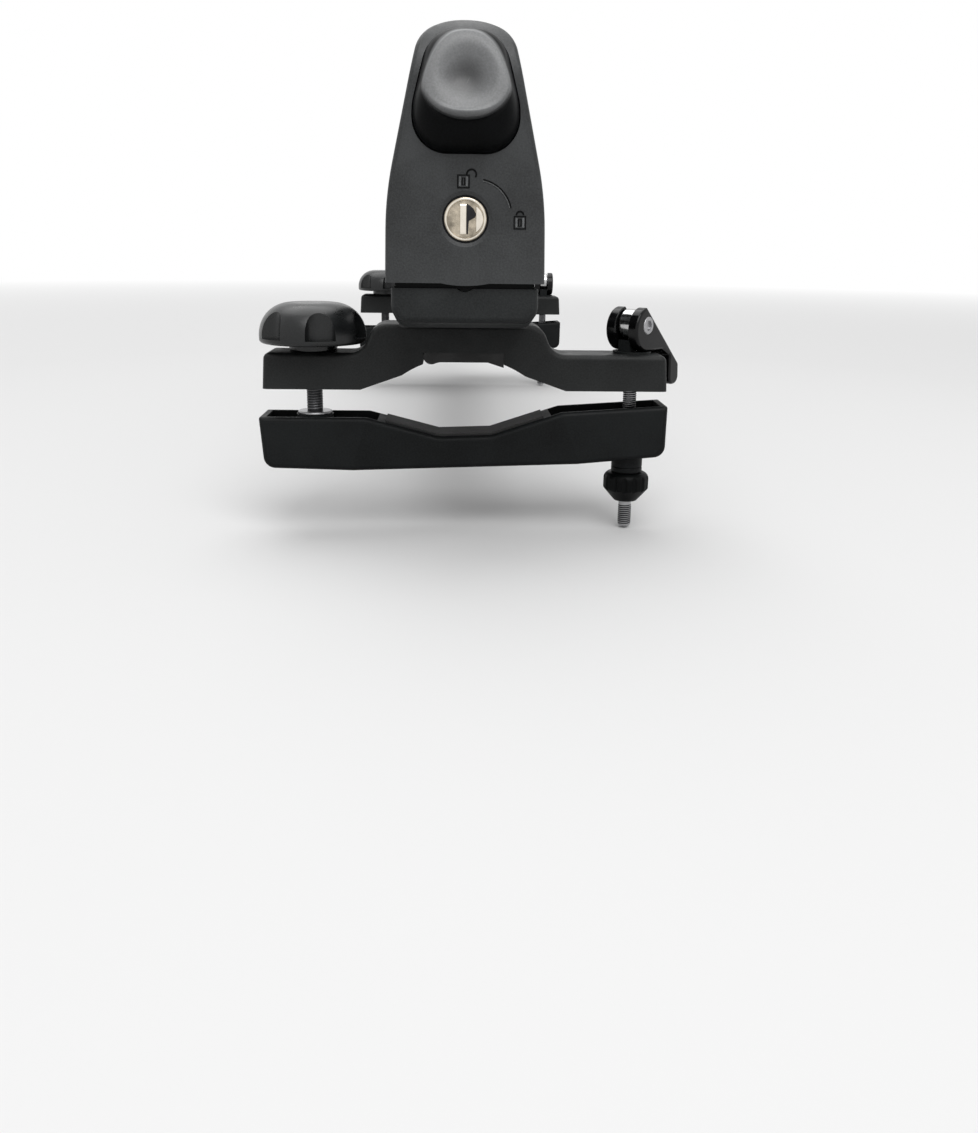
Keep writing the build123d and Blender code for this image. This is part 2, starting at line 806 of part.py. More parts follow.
def pad_section(face_z, up):
    """Hollow rubber section that stands on a jaw's face, up being 1 or -1, with its foot in the groove."""
    foot_z = face_z - up * (pad_slot_lip + pad_slot_height / 2)
    crown_z = face_z + up * pad_height
    with BuildLine(mode=Mode.PRIVATE) as outline:
        FilletPolyline(
            (-pad_half, face_z),
            (-pad_half + 1.5, face_z + up * pad_height * 0.72),
            (-pad_half + 7, crown_z),
            (pad_half - 7, crown_z),
            (pad_half - 1.5, face_z + up * pad_height * 0.72),
            (pad_half, face_z),
            radius=[4.5, 4.5, 4.5, 4.5, 0, 0],
            close=True,
        )
    make_face(outline.edges())
    inner = pad_half - pad_wall
    with BuildLine(mode=Mode.PRIVATE) as hollow:
        FilletPolyline(
            (-inner, face_z + up * pad_wall),
            (-inner + 1, face_z + up * pad_height * 0.66),
            (-inner + 6.5, crown_z - up * pad_wall),
            (inner - 6.5, crown_z - up * pad_wall),
            (inner - 1, face_z + up * pad_height * 0.66),
            (inner, face_z + up * pad_wall),
            radius=[2.5, 3, 3, 2.5, 1, 1],
            close=True,
        )
    make_face(hollow.edges(), mode=Mode.SUBTRACT)
    with Locations((0, face_z - up * (pad_slot_lip + 0.5) / 2)):
        Rectangle(2 * (pad_slot_open_half - slide_gap), pad_slot_lip + 0.5)
    with Locations((0, foot_z)):
        Rectangle(2 * (pad_slot_half - slide_gap), pad_slot_height - 2 * slide_gap)


with BuildPart() as lower_pad:
    with BuildSketch(facing_front(pad_front)):
        pad_section(base_top, 1)
    extrude(amount=-(pad_rear - pad_front))
save(lower_pad, "lower_pad")

with BuildPart() as upper_pad:
    with BuildSketch(facing_front(pad_front)):
        pad_section(jaw_bottom, -1)
    extrude(amount=-(pad_rear - pad_front))
save(upper_pad, "upper_pad")


def jaw_outline(grow):
    """Section of the upper extrusion, grown all round."""
    half = jaw_half + grow
    with BuildLine(mode=Mode.PRIVATE) as outline:
        FilletPolyline(
            (-half, jaw_bottom - grow),
            (half, jaw_bottom - grow),
            (half, jaw_top + grow),
            (-half, jaw_top + grow),
            radius=[jaw_low_radius, jaw_low_radius, jaw_high_radius + grow, jaw_high_radius + grow],
            close=True,
        )
    make_face(outline.edges())


with BuildPart() as upper_profile:
    with BuildSketch(facing_front(jaw_front)):
        jaw_outline(0)
        chamber_bottom = jaw_bottom + pad_slot_lip + pad_slot_height + jaw_wall
        with BuildLine(mode=Mode.PRIVATE) as chamber:
            FilletPolyline(
                (-jaw_half + jaw_wall, chamber_bottom),
                (jaw_half - jaw_wall, chamber_bottom),
                (jaw_half - jaw_wall, jaw_top - jaw_wall),
                (-jaw_half + jaw_wall, jaw_top - jaw_wall),
                radius=[1, 1, jaw_high_radius - jaw_wall, jaw_high_radius - jaw_wall],
                close=True,
            )
        make_face(chamber.edges(), mode=Mode.SUBTRACT)
        with Locations((0, jaw_bottom + pad_slot_lip + pad_slot_height / 2)):
            Rectangle(2 * pad_slot_half, pad_slot_height, mode=Mode.SUBTRACT)
        with Locations((0, jaw_bottom)):
            Rectangle(2 * pad_slot_open_half, 2 * pad_slot_lip + 1, mode=Mode.SUBTRACT)
    extrude(amount=-(jaw_rear - jaw_front))
    for y in jaw_screw_y:
        with BuildSketch(side_plane(-(jaw_half + 1))):
            with Locations((y, jaw_screw_z)):
                Circle(screw_radius + running_gap)
        extrude(amount=2 * (jaw_half + 1), mode=Mode.SUBTRACT)
save(upper_profile, "upper_profile")

# End cap of the lower jaw: a three-sided sleeve on the extrusion, two cheeks for the striker
with BuildPart() as base_end_cap:
    with BuildSketch(side_plane(-cap_half)):
        Polygon(
            (cap_front, cap_deck),
            (cap_front, cap_nose_bottom),
            (base_front - 2, cap_bottom),
            (cap_rear, cap_bottom),
            (cap_rear, cap_deck),
            align=None,
        )
    extrude(amount=2 * cap_half)
    sides = base_end_cap.edges().filter_by(lambda e: abs(abs(e.center().X) - cap_half) < 0.01)
    fillet(sides.filter_by(lambda e: e.center().Z < cap_deck - 8 and e.center().Y < cap_rear - 1), cap_corner)
    nose = base_end_cap.edges().filter_by(lambda e: e.bounding_box().max.Y < cap_front + 0.01)
    fillet(nose.filter_by(lambda e: e.center().Z < cap_deck - 1), cap_nose_edge)
    with BuildSketch(Plane.XY.offset(cap_deck)):
        for side in (-1, 1):
            with Locations((side * (cheek_half + hook_half + 1) / 2, (cheek_front + cheek_rear) / 2)):
                Rectangle(cheek_half - hook_half - 1, cheek_rear - cheek_front)
    extrude(amount=striker_bottom - cap_deck)
    with BuildSketch(Plane.XY.offset(cap_bottom - 5)):
        with Locations((0, (base_front + cap_rear) / 2 + 5)):
            Rectangle(2 * (base_half + slide_gap), cap_rear - base_front + 10 + 2 * slide_gap)
    extrude(amount=base_top + slide_gap - cap_bottom + 5, mode=Mode.SUBTRACT)
    # Thumb notch under the cover's front edge
    with BuildSketch(facing_front(cap_front - 1)):
        with Locations((0, cap_deck + cap_thumb_radius - cap_thumb_depth)):
            Circle(cap_thumb_radius)
    extrude(amount=-4, mode=Mode.SUBTRACT)
    with Locations(*[(x, profile_screw_y[0], cap_deck) for x in (-profile_screw_x, profile_screw_x)]):
        Hole(screw_radius + 0.15)
    with Locations(*[(x, striker_screw_y, striker_bottom) for x in (-striker_screw_x, striker_screw_x)]):
        Hole(screw_radius + running_gap, depth=6)
save(base_end_cap, "base_end_cap")

with BuildPart() as striker:
    with BuildSketch(Plane.XY.offset(striker_bottom)):
        with Locations((0, (striker_lip + cheek_rear) / 2)):
            RectangleRounded(2 * cheek_half, cheek_rear - striker_lip, 1)
        with Locations((-striker_screw_x, striker_screw_y), (striker_screw_x, striker_screw_y)):
            Circle(screw_radius + 0.15, mode=Mode.SUBTRACT)
    extrude(amount=striker_thick)
save(striker, "striker")


def pan_screws(places, up, length):
    """Pan-head screws at places, heads on the face and shanks away from up."""
    with BuildPart() as piece:
        for x, y, z in places:
            face = Plane(origin=(x, y, z), z_dir=up)
            with BuildSketch(face):
                Circle(screw_head_radius)
            extrude(amount=screw_head_height)
            with BuildSketch(face):
                Circle(screw_radius)
            extrude(amount=-length)
        heads = piece.edges().filter_by(GeomType.CIRCLE).filter_by(
            lambda e: abs(e.radius - screw_head_radius) < 0.01
        )
        tops = [e for e in heads if any(
            abs((e.arc_center - Vector(p)).dot(Vector(up)) - screw_head_height) < 0.01 for p in places
        )]
        fillet(tops, 0.9)
    return piece


save(
    pan_screws(
        [(x, y, cap_deck) for y in profile_screw_y for x in (-profile_screw_x, profile_screw_x)],
        (0, 0, 1),
        cap_deck - base_top + 4,
    ),
    "profile_screws",
)
save(
    pan_screws(
        [(x, striker_screw_y, striker_bottom + striker_thick) for x in (-striker_screw_x, striker_screw_x)],
        (0, 0, 1),
        striker_thick + 5,
    ),
    "striker_screws",
)


sleeve_half = jaw_half + sleeve_wall
sleeve_bottom = jaw_bottom - sleeve_wall
sleeve_top = jaw_top + sleeve_wall


# Latch cover
def cover_form(inset, low):
    """The cover's outer shape, drawn in by inset, with its open underside at low."""
    with BuildPart() as form:
        with BuildSketch(facing_front(cover_front + inset)):
            with BuildLine():
                FilletPolyline(
                    (-cover_half + inset, low),
                    (cover_half - inset, low),
                    (cover_half_mid - inset, cover_taper_z),
                    (cover_shoulder_half - inset, cover_shoulder_z - inset),
                    (0, cover_peak - inset * 1.1),
                    (-cover_shoulder_half + inset, cover_shoulder_z - inset),
                    (-cover_half_mid + inset, cover_taper_z),
                    radius=[
                        0,
                        0,
                        cover_taper_radius,
                        cover_shoulder_radius - inset,
                        cover_peak_radius - inset,
                        cover_shoulder_radius - inset,
                        cover_taper_radius,
                    ],
                    close=True,
                )
            make_face()
        extrude(amount=-(cover_rear - cover_front - 2 * inset))
        with BuildSketch(side_plane(-(cover_half + 5))):
            nose = cover_nose_radius - inset
            with BuildLine():
                wall = Line((cover_front + inset, low - 1), (cover_front + inset, cover_nose_z))
                brow = RadiusArc(wall @ 1, (cover_front + inset + nose, cover_nose_z + nose), nose)
                Polyline(
                    brow @ 1,
                    (cover_rear - inset, cover_nose_z + nose - 2),
                    (cover_rear - inset, low - 1),
                    wall @ 0,
                )
            make_face()
        extrude(amount=2 * (cover_half + 5), mode=Mode.INTERSECT)
    return form


def egg_outline(low, waist, high, radii, grow=0.0):
    """Symmetric outline through three corners a side, each as half width and height, grown all round."""
    corners = [(low[0] + grow, low[1] - grow), (waist[0] + grow, waist[1]), (high[0] + grow, high[1] + grow)]
    mirrored = [(-x, z) for x, z in reversed(corners)]
    rounding = [radius + grow for radius in radii]
    with BuildLine(mode=Mode.PRIVATE) as outline:
        FilletPolyline(corners + mirrored, radius=rounding + rounding[::-1], close=True)
    make_face(outline.edges())


def button_outline(grow):
    """Section of the button where it passes through the cover."""
    egg_outline(button_low, button_waist, button_high, button_radii, grow)


def lock_circle(radius):
    with Locations((0, lock_z)):
        Circle(radius)


guide_wall = 2.0
guide_rear = button_back - button_flange - moving_gap

# The hollow inside the cover, less the moulded guides for the button and the lock
with BuildPart() as cover_hollow:
    add(cover_form(cover_wall, cover_bottom - 5).part)
    with BuildSketch(facing_front(cover_front)):
        button_outline(moving_gap + guide_wall)
    extrude(amount=-(guide_rear - cover_front), mode=Mode.SUBTRACT)
    with BuildSketch(facing_front(cover_front)):
        lock_circle(lock_housing_radius + running_gap + guide_wall)
    extrude(amount=-10.5, mode=Mode.SUBTRACT)
    # Cheeks that carry the hook's pivot, and the ledge under its spring
    with BuildSketch(side_plane(-(pivot_cheek_inner + pivot_cheek_thick))):
        with Locations((hook_y, hook_z)):
            Circle(7.5)
        with Locations(((hook_y + cover_rear) / 2, hook_z)):
            Rectangle(cover_rear - hook_y, 15)
    extrude(amount=2 * (pivot_cheek_inner + pivot_cheek_thick), mode=Mode.SUBTRACT)

with BuildPart() as cheek_gap:
    with BuildSketch(side_plane(-pivot_cheek_inner)):
        with Locations(((hook_y + cover_rear - cover_wall) / 2 - 5, hook_z)):
            Rectangle(cover_rear - cover_wall - hook_y + 10, 17)
    extrude(amount=2 * pivot_cheek_inner)

with BuildPart() as latch_cover:
    add(cover_form(0, cover_bottom).part)
    outer = latch_cover.edges().filter_by(
        lambda e: e.bounding_box().min.Y < cover_front + cover_nose_radius + 0.1
        and e.center().Z > cover_bottom + 1
        and e.bounding_box().max.Y < cover_front + cover_nose_radius + 0.1
    )
    fillet(outer, cover_edge)
    add(cover_hollow.part, mode=Mode.SUBTRACT)
    add(cheek_gap.part, mode=Mode.SUBTRACT)
    # Spring ledge
    with BuildSketch(Plane.XY.offset(ledge_top - ledge_thick)):
        with Locations((0, (spring_y + cover_rear) / 2 - 2)):
            Rectangle(11, cover_rear - spring_y + 4 - cover_wall / 2)
    extrude(amount=ledge_thick)
    # Shallow lip in the middle of the front wall's lower edge
    with BuildSketch(facing_front(cover_front)):
        with BuildLine():
            lip = ThreePointArc(
                (-cover_lip_half, cover_bottom),
                (0, cover_bottom - cover_lip_drop),
                (cover_lip_half, cover_bottom),
            )
            Line(lip @ 1, lip @ 0)
        make_face()
    extrude(amount=-cover_wall)
    # Sleeve round the upper extrusion
    with BuildSketch(facing_front(cover_rear - cover_wall)):
        jaw_outline(sleeve_wall)
    extrude(amount=-(sleeve_rear - cover_rear + cover_wall))
    with BuildSketch(facing_front(jaw_front)):
        jaw_outline(slide_gap)
    extrude(amount=-(sleeve_rear - jaw_front + 1), mode=Mode.SUBTRACT)
    # Openings for the button, the lock and the pins
    with BuildSketch(facing_front(face_front)):
        button_outline(moving_gap)
    extrude(amount=-(button_back + button_travel + 0.5 - face_front), mode=Mode.SUBTRACT)
    with BuildSketch(facing_front(cover_front - 1)):
        lock_circle(lock_hole_radius)
    extrude(amount=-(cover_wall + 2), mode=Mode.SUBTRACT)
    with BuildSketch(side_plane()):
        Polygon(
            (cover_front - 0.1, lock_z + lock_hole_radius - 0.1),
            (cover_front - 0.1, lock_z + lock_hole_radius + lock_sink_width),
            (cover_front + lock_sink_depth, lock_z + lock_hole_radius - 0.1),
            align=None,
        )
    revolve(axis=Axis((0, 0, lock_z), (0, 1, 0)), mode=Mode.SUBTRACT)
    with BuildSketch(facing_front(cover_front + cover_wall)):
        lock_circle(lock_housing_radius + running_gap)
    extrude(amount=-12, mode=Mode.SUBTRACT)
    with BuildSketch(side_plane(-(pivot_cheek_inner + pivot_cheek_thick + 1))):
        with Locations((hook_y, hook_z)):
            Circle(hook_pin_radius + press_gap)
    extrude(amount=2 * (pivot_cheek_inner + pivot_cheek_thick + 1), mode=Mode.SUBTRACT)
    with BuildSketch(side_plane(-(sleeve_half + 1))):
        with Locations((jaw_screw_y[0], jaw_screw_z)):
            Circle(screw_radius + 0.15)
    extrude(amount=2 * (sleeve_half + 1), mode=Mode.SUBTRACT)
save(latch_cover, "latch_cover")

# Push button: a tapered skirt from the cover's face to a dished thumb pad that leans back
lean = radians(face_lean)
face_plane = Plane(
    origin=(0, face_front, face_z), x_dir=(1, 0, 0), z_dir=(0, -cos(lean), sin(lean))
)
with BuildPart() as push_button:
    with BuildSketch(facing_front(cover_front)):
        button_outline(0)
    with BuildSketch(face_plane):
        egg_outline(face_low, face_waist, face_high, face_radii)
    loft()
    fillet(push_button.faces().sort_by(Axis(face_plane.origin, face_plane.z_dir))[-1].edges(), face_edge)
    with BuildSketch(facing_front(cover_front)):
        button_outline(0)
    extrude(amount=-(button_back - cover_front))
    with BuildSketch(facing_front(button_back - button_flange)):
        button_outline(button_flange_grow)
        with Locations((0, button_flange_top + 20)):
            Rectangle(60, 40, mode=Mode.SUBTRACT)
    extrude(amount=-button_flange)
    # Hollow behind the thumb pad, with a post that bears on the hook
    with BuildSketch(facing_front(cover_front - 4)):
        button_outline(-button_wall)
        with Locations((0, hook_tip_z)):
            Circle(5, mode=Mode.SUBTRACT)
    extrude(amount=-(button_back - cover_front + 5), mode=Mode.SUBTRACT)
    # Thumb dish
    with Locations(face_plane.from_local_coords(Vector(0, dish_rise, dish_radius - dish_depth))):
        Sphere(dish_radius, mode=Mode.SUBTRACT)
save(push_button, "push_button")

# Hook on its pivot, with a tail for the return spring
with BuildPart() as latch_hook:
    front_of_shank = hook_y - hook_shank / 2
    back_of_shank = hook_y + hook_shank / 2
    nose_top = striker_bottom - moving_gap
    with BuildSketch(side_plane(-hook_half)):
        with Locations((hook_y, hook_z)):
            Circle(hook_hub_radius)
        with BuildLine():
            FilletPolyline(
                (front_of_shank, hook_z),
                (front_of_shank, hook_nose_low + 2),
                (front_of_shank + 2.5, hook_nose_low),
                (hook_nose_y - 1.5, hook_nose_low + 1.2),
                (hook_nose_y, nose_top),
                (back_of_shank, nose_top),
                (back_of_shank, hook_z),
                radius=[1, 1, 0.8, 0.3, 0.3, 0, 0],
                close=True,
            )
        make_face()
    extrude(amount=2 * hook_half)
    with BuildSketch(side_plane(-(hook_half - 1))):
        with BuildLine():
            Polyline(
                (hook_y - 4, hook_z + 3),
                (hook_tip_y - hook_tip_radius * 0.86, hook_tip_z - 1.1),
                (hook_tip_y + hook_tip_radius * 0.86, hook_tip_z + 1.1),
                (hook_y + 4.6, hook_z + 2),
                close=True,
            )
        make_face()
        with Locations((hook_tip_y, hook_tip_z)):
            Circle(hook_tip_radius)
        with Locations(((hook_y + hook_tail_y) / 2, hook_z)):
            Rectangle(hook_tail_y - hook_y, 4)
    extrude(amount=2 * (hook_half - 1))
    with BuildSketch(side_plane(-hook_hub_half)):
        with Locations((hook_y, hook_z)):
            Circle(hook_hub_radius)
    extrude(amount=2 * hook_hub_half)
    with BuildSketch(side_plane(-(hook_hub_half + 1))):
        with Locations((hook_y, hook_z)):
            Circle(hook_pin_radius + running_gap)
    extrude(amount=2 * (hook_hub_half + 1), mode=Mode.SUBTRACT)
save(latch_hook, "latch_hook")

with BuildPart() as hook_pin:
    with BuildSketch(side_plane(-hook_pin_half)):
        with Locations((hook_y, hook_z)):
            Circle(hook_pin_radius)
    extrude(amount=2 * hook_pin_half)
    chamfer(hook_pin.edges(), 0.4)
save(hook_pin, "hook_pin")

# Return spring under the hook's tail
spring_bottom = ledge_top
spring_top = hook_z - 2
with BuildPart() as hook_spring:
    height = spring_top - spring_bottom - 2 * spring_wire - 0.2
    with BuildLine() as coil:
        Helix(
            pitch=height / spring_turns,
            height=height,
            radius=spring_radius,
            center=(0, spring_y, spring_bottom + spring_wire + 0.1),
        )
    with BuildSketch(Plane(origin=coil.wire() @ 0, z_dir=coil.wire() % 0)):
        Circle(spring_wire)
    sweep()
save(hook_spring, "hook_spring")

# Lock: housing, plug and cam with its blocking finger
with BuildPart() as lock_housing:
    with BuildSketch(facing_front(cover_front + cover_wall)):
        lock_circle(lock_housing_radius)
        with Locations((0, lock_z)):
            Circle(plug_radius + running_gap, mode=Mode.SUBTRACT)
    extrude(amount=-(plug_rear - cover_front - cover_wall))
save(lock_housing, "lock_housing")

with BuildPart() as lock_plug:
    with BuildSketch(facing_front(plug_front)):
        lock_circle(plug_radius)
    extrude(amount=-(plug_rear - plug_front))
    rim = lock_plug.edges().sort_by(Axis.Y)[0]
    fillet(rim, 0.5)
    with BuildSketch(facing_front(plug_front)):
        lock_circle(plug_radius - plug_rim)
    extrude(amount=-plug_dish, mode=Mode.SUBTRACT)
    # Shutter over the keyway, and the open slit beside it
    with BuildSketch(facing_front(plug_front + plug_dish / 2)):
        with Locations((shutter_x, lock_z)):
            Rectangle(shutter_width, shutter_height)
    extrude(amount=-plug_dish)
    with BuildSketch(facing_front(plug_front)):
        with Locations((shutter_x + (shutter_width + keyway_width) / 2, lock_z)):
            Rectangle(keyway_width, shutter_height)
    extrude(amount=-keyway_depth, mode=Mode.SUBTRACT)
save(lock_plug, "lock_plug")

with BuildPart() as lock_cam:
    with BuildSketch(facing_front(plug_rear)):
        lock_circle(lock_cam_radius)
        with Locations((lock_finger_radius / 2, lock_z)):
            Rectangle(lock_finger_radius, 2 * lock_finger_half + 1)
        with Locations((lock_finger_radius, lock_z)):
            Circle(lock_finger_half + 0.5)
    extrude(amount=-lock_cam_thick)
    with BuildSketch(facing_front(plug_rear)):
        with Locations((lock_finger_radius, lock_z)):
            Circle(lock_finger_half)
    extrude(amount=-(front_of_shank - moving_gap - plug_rear))
save(lock_cam, "lock_cam")


# Hinge end: forked base on the lower jaw, arm on the upper jaw, pin and clip
with BuildPart() as hinge_base:
    with BuildSketch(side_plane(-cap_half)):
        with BuildLine():
            FilletPolyline(
                (hinge_base_front, cap_bottom),
                (hinge_base_rear, cap_bottom),
                (hinge_base_rear, cap_deck),
                (hinge_base_front, cap_deck),
                radius=[0, 4, 0, 1.2],
                close=True,
            )
        make_face()
    extrude(amount=2 * cap_half)
    with BuildSketch(side_plane(-cap_half)):
        with Locations((hinge_y, hinge_z)):
            Circle(ear_radius)
        with BuildLine():
            Polyline(
                (hinge_y - ear_radius, hinge_z),
                (hinge_base_front + 13, cap_deck - 2),
                (hinge_base_rear, cap_deck - 6),
                (hinge_y + ear_radius, hinge_z),
                close=True,
            )
        make_face()
    extrude(amount=2 * cap_half)
    fillet(hinge_base.faces().sort_by(Axis.X)[-1].outer_wire().edges(), 1.2)
    fillet(hinge_base.faces().sort_by(Axis.X)[0].outer_wire().edges(), 1.2)
    with BuildSketch(Plane.XY.offset(cap_deck)):
        with Locations((0, hinge_y - 5)):
            Rectangle(2 * ear_inner, 60)
    extrude(amount=60, mode=Mode.SUBTRACT)
    with BuildSketch(Plane.XY.offset(cap_bottom - 5)):
        with Locations((0, (hinge_base_front + base_rear) / 2 - 5)):
            Rectangle(2 * (base_half + slide_gap), base_rear - hinge_base_front + 10 + 2 * slide_gap)
    extrude(amount=base_top + slide_gap - cap_bottom + 5, mode=Mode.SUBTRACT)
    with BuildSketch(side_plane(-(cap_half + 1))):
        with Locations((hinge_y, hinge_z)):
            Circle(hinge_pin_radius + press_gap)
    extrude(amount=2 * (cap_half + 1), mode=Mode.SUBTRACT)
    with Locations(*[(x, profile_screw_y[1], cap_deck) for x in (-profile_screw_x, profile_screw_x)]):
        Hole(screw_radius + 0.15)
save(hinge_base, "hinge_base")

with BuildPart() as hinge_arm:
    with BuildSketch(facing_front(hinge_sleeve_front)):
        jaw_outline(sleeve_wall)
    extrude(amount=-(hinge_y + hinge_arm_radius - hinge_sleeve_front))
    with BuildSketch(side_plane(-(sleeve_half + 2))):
        with BuildLine():
            FilletPolyline(
                (hinge_sleeve_front, sleeve_bottom),
                (hinge_sleeve_front, sleeve_top),
                (hinge_y + hinge_arm_radius, sleeve_top),
                (hinge_y + hinge_arm_radius, sleeve_bottom - 3),
                (jaw_rear + 4, sleeve_bottom - 3),
                (jaw_rear, sleeve_bottom),
                radius=[0, 18, 0, 0, 0, 0],
                close=True,
            )
        make_face()
    extrude(amount=2 * (sleeve_half + 2), mode=Mode.INTERSECT)
    with BuildSketch(side_plane(-(ear_inner - moving_gap))):
        with BuildLine():
            Polyline(
                (hinge_y - hinge_arm_radius, hinge_z),
                (jaw_rear + 2, sleeve_bottom + 3),
                (hinge_y + hinge_arm_radius, sleeve_bottom + 3),
                (hinge_y + hinge_arm_radius, hinge_z),
                close=True,
            )
        make_face()
        with Locations((hinge_y, hinge_z)):
            Circle(hinge_arm_radius)
    extrude(amount=2 * (ear_inner - moving_gap))
    with BuildSketch(facing_front(hinge_sleeve_front - 1)):
        jaw_outline(slide_gap)
    extrude(amount=-(jaw_rear + slide_gap - hinge_sleeve_front + 1), mode=Mode.SUBTRACT)
    with BuildSketch(side_plane(-(ear_inner + 1))):
        with Locations((hinge_y, hinge_z)):
            Circle(hinge_pin_radius + running_gap)
    extrude(amount=2 * (ear_inner + 1), mode=Mode.SUBTRACT)
    with BuildSketch(side_plane(-(sleeve_half + 1))):
        with Locations((jaw_screw_y[1], jaw_screw_z)):
            Circle(screw_radius + 0.15)
    extrude(amount=2 * (sleeve_half + 1), mode=Mode.SUBTRACT)
save(hinge_arm, "hinge_arm")

with BuildPart() as hinge_pin:
    with BuildSketch(side_plane(-cap_half - 1.4)):
        with Locations((hinge_y, hinge_z)):
            Circle(hinge_pin_radius)
    extrude(amount=2 * cap_half + 5.4)
    with BuildSketch(side_plane(-cap_half)):
        with Locations((hinge_y, hinge_z)):
            Circle(hinge_pin_head)
    extrude(amount=-2.4)
    fillet(hinge_pin.edges().sort_by(Axis.X)[0], 1.2)
save(hinge_pin, "hinge_pin")

with BuildPart() as hinge_clip:
    with BuildSketch(side_plane(cap_half)):
        with Locations((hinge_y, hinge_z)):
            Circle(hinge_pin_head + 0.5)
            Circle(hinge_pin_radius + press_gap, mode=Mode.SUBTRACT)
    extrude(amount=1.6)
    fillet(round_edges(hinge_clip, hinge_pin_head + 0.5).sort_by(Axis.X)[-1], 0.8)
save(hinge_clip, "hinge_clip")

with BuildPart() as jaw_screws:
    for y in jaw_screw_y:
        for side in (-1, 1):
            face = Plane(origin=(side * sleeve_half, y, jaw_screw_z), z_dir=(side, 0, 0))
            with BuildSketch(face):
                Circle(screw_head_radius)
            extrude(amount=screw_head_height)
            with BuildSketch(face):
                Circle(screw_radius)
            extrude(amount=-jaw_screw_length)
    head_x = sleeve_half + screw_head_height
    fillet(jaw_screws.edges().filter_by(lambda e: abs(abs(e.center().X) - head_x) < 0.01), 0.9)
save(jaw_screws, "jaw_screws")
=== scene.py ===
import json
from math import atan2, cos, degrees, pi, radians, sin, tan

import bmesh
import bpy
from mathutils import Matrix, Vector


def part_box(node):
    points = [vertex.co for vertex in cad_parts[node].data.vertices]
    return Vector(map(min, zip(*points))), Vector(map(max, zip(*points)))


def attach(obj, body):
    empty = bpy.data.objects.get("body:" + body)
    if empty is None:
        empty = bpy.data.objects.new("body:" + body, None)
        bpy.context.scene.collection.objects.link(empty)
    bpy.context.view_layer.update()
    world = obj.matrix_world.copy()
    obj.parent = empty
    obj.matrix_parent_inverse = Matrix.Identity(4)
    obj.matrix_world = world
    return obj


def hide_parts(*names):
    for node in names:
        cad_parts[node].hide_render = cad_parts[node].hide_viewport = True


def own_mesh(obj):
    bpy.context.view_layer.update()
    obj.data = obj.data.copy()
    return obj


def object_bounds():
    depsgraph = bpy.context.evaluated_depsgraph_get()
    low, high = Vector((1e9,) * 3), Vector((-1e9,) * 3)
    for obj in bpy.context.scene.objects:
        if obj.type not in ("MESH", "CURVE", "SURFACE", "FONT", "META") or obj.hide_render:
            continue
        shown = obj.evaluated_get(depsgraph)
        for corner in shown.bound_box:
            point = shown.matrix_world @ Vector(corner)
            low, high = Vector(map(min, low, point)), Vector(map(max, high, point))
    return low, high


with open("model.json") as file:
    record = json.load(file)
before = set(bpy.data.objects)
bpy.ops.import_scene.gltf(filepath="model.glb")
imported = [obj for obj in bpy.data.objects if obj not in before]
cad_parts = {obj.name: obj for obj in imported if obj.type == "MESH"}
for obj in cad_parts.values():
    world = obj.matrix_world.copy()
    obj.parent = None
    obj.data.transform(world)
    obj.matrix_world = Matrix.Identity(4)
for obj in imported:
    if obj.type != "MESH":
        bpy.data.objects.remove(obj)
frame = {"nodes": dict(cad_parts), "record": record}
nodes = frame["nodes"]
cad_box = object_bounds()

# Lengths are in millimetres and angles in degrees, unless a comment says otherwise
MM = 0.001

# Camera of the photograph: its place, its yaw, pitch and roll, and its lens
CAMERA_PLACE = (-3.4, -582.5, 44.4)
CAMERA_TURN = (2.07, -13.85, 0.72)
CAMERA_LENS = 31.77
CAMERA_SENSOR = 36
CAMERA_SHIFT = -0.0706
CAMERA_NEAR = 10
CAMERA_FAR = 50000

# Moulded plastics: colour, roughness, edge wear with painted edge highlight, gloss, and the pebble
# grain's size and depth
MOULDINGS = {
    "housing_plastic": ((0.0415, 0.0435, 0.0447), (0.4, 0.56), 0.3, 0.36, 0.45, 0.045),
    "base_plastic": ((0.023, 0.025, 0.0255), (0.42, 0.56), 0.2, 0.22, 0.45, 0.045),
    "bracket_plastic": ((0.017, 0.018, 0.018), (0.42, 0.6), 0.35, 0.2, 0.5, 0.045),
    "clamp_plastic": ((0.0095, 0.0105, 0.0108), (0.4, 0.56), 0.3, 0.12, 0.5, 0.045),
    "knob_plastic": ((0.010, 0.011, 0.0115), (0.24, 0.36), 0.3, 0.4, 0.5, 0.02),
    "lever_plastic": ((0.003, 0.003, 0.0034), (0.1, 0.2), 0.15, 0.22, 0.6, 0.008),
    "nut_plastic": ((0.0035, 0.004, 0.004), (0.35, 0.5), 0.15, 0.08, 0.5, 0.02),
    # A lighter copy of the cover's plastic: painted highlight on the signs
    "lit_sign_plastic": ((0.15, 0.154, 0.157), (0.4, 0.5), 0.2, 0.3, 0.45, 0.045),
}

# Metals: colour, roughness, depth of the marks, and how much darker the patches are.
# The record names the rod's barrel a plastic, but it is bright metal in the photograph
METALS = {
    "barrel_plastic": ((0.62, 0.62, 0.62), (0.08, 0.2), 0.006, 0.35),
    "black_steel": ((0.035, 0.035, 0.037), (0.35, 0.5), 0.006, 0.3),
    "worn_steel": ((0.15, 0.15, 0.155), (0.3, 0.45), 0.006, 0.3),
    "zinc_steel": ((0.42, 0.42, 0.43), (0.25, 0.42), 0.006, 0.3),
    "brass_insert": ((0.72, 0.52, 0.24), (0.22, 0.35), 0.004, 0.2),
    "lock_nickel": ((0.66, 0.58, 0.46), (0.14, 0.4), 0.02, 0.7),
    "polished_nickel": ((0.86, 0.80, 0.70), (0.06, 0.16), 0.006, 0.2),
}
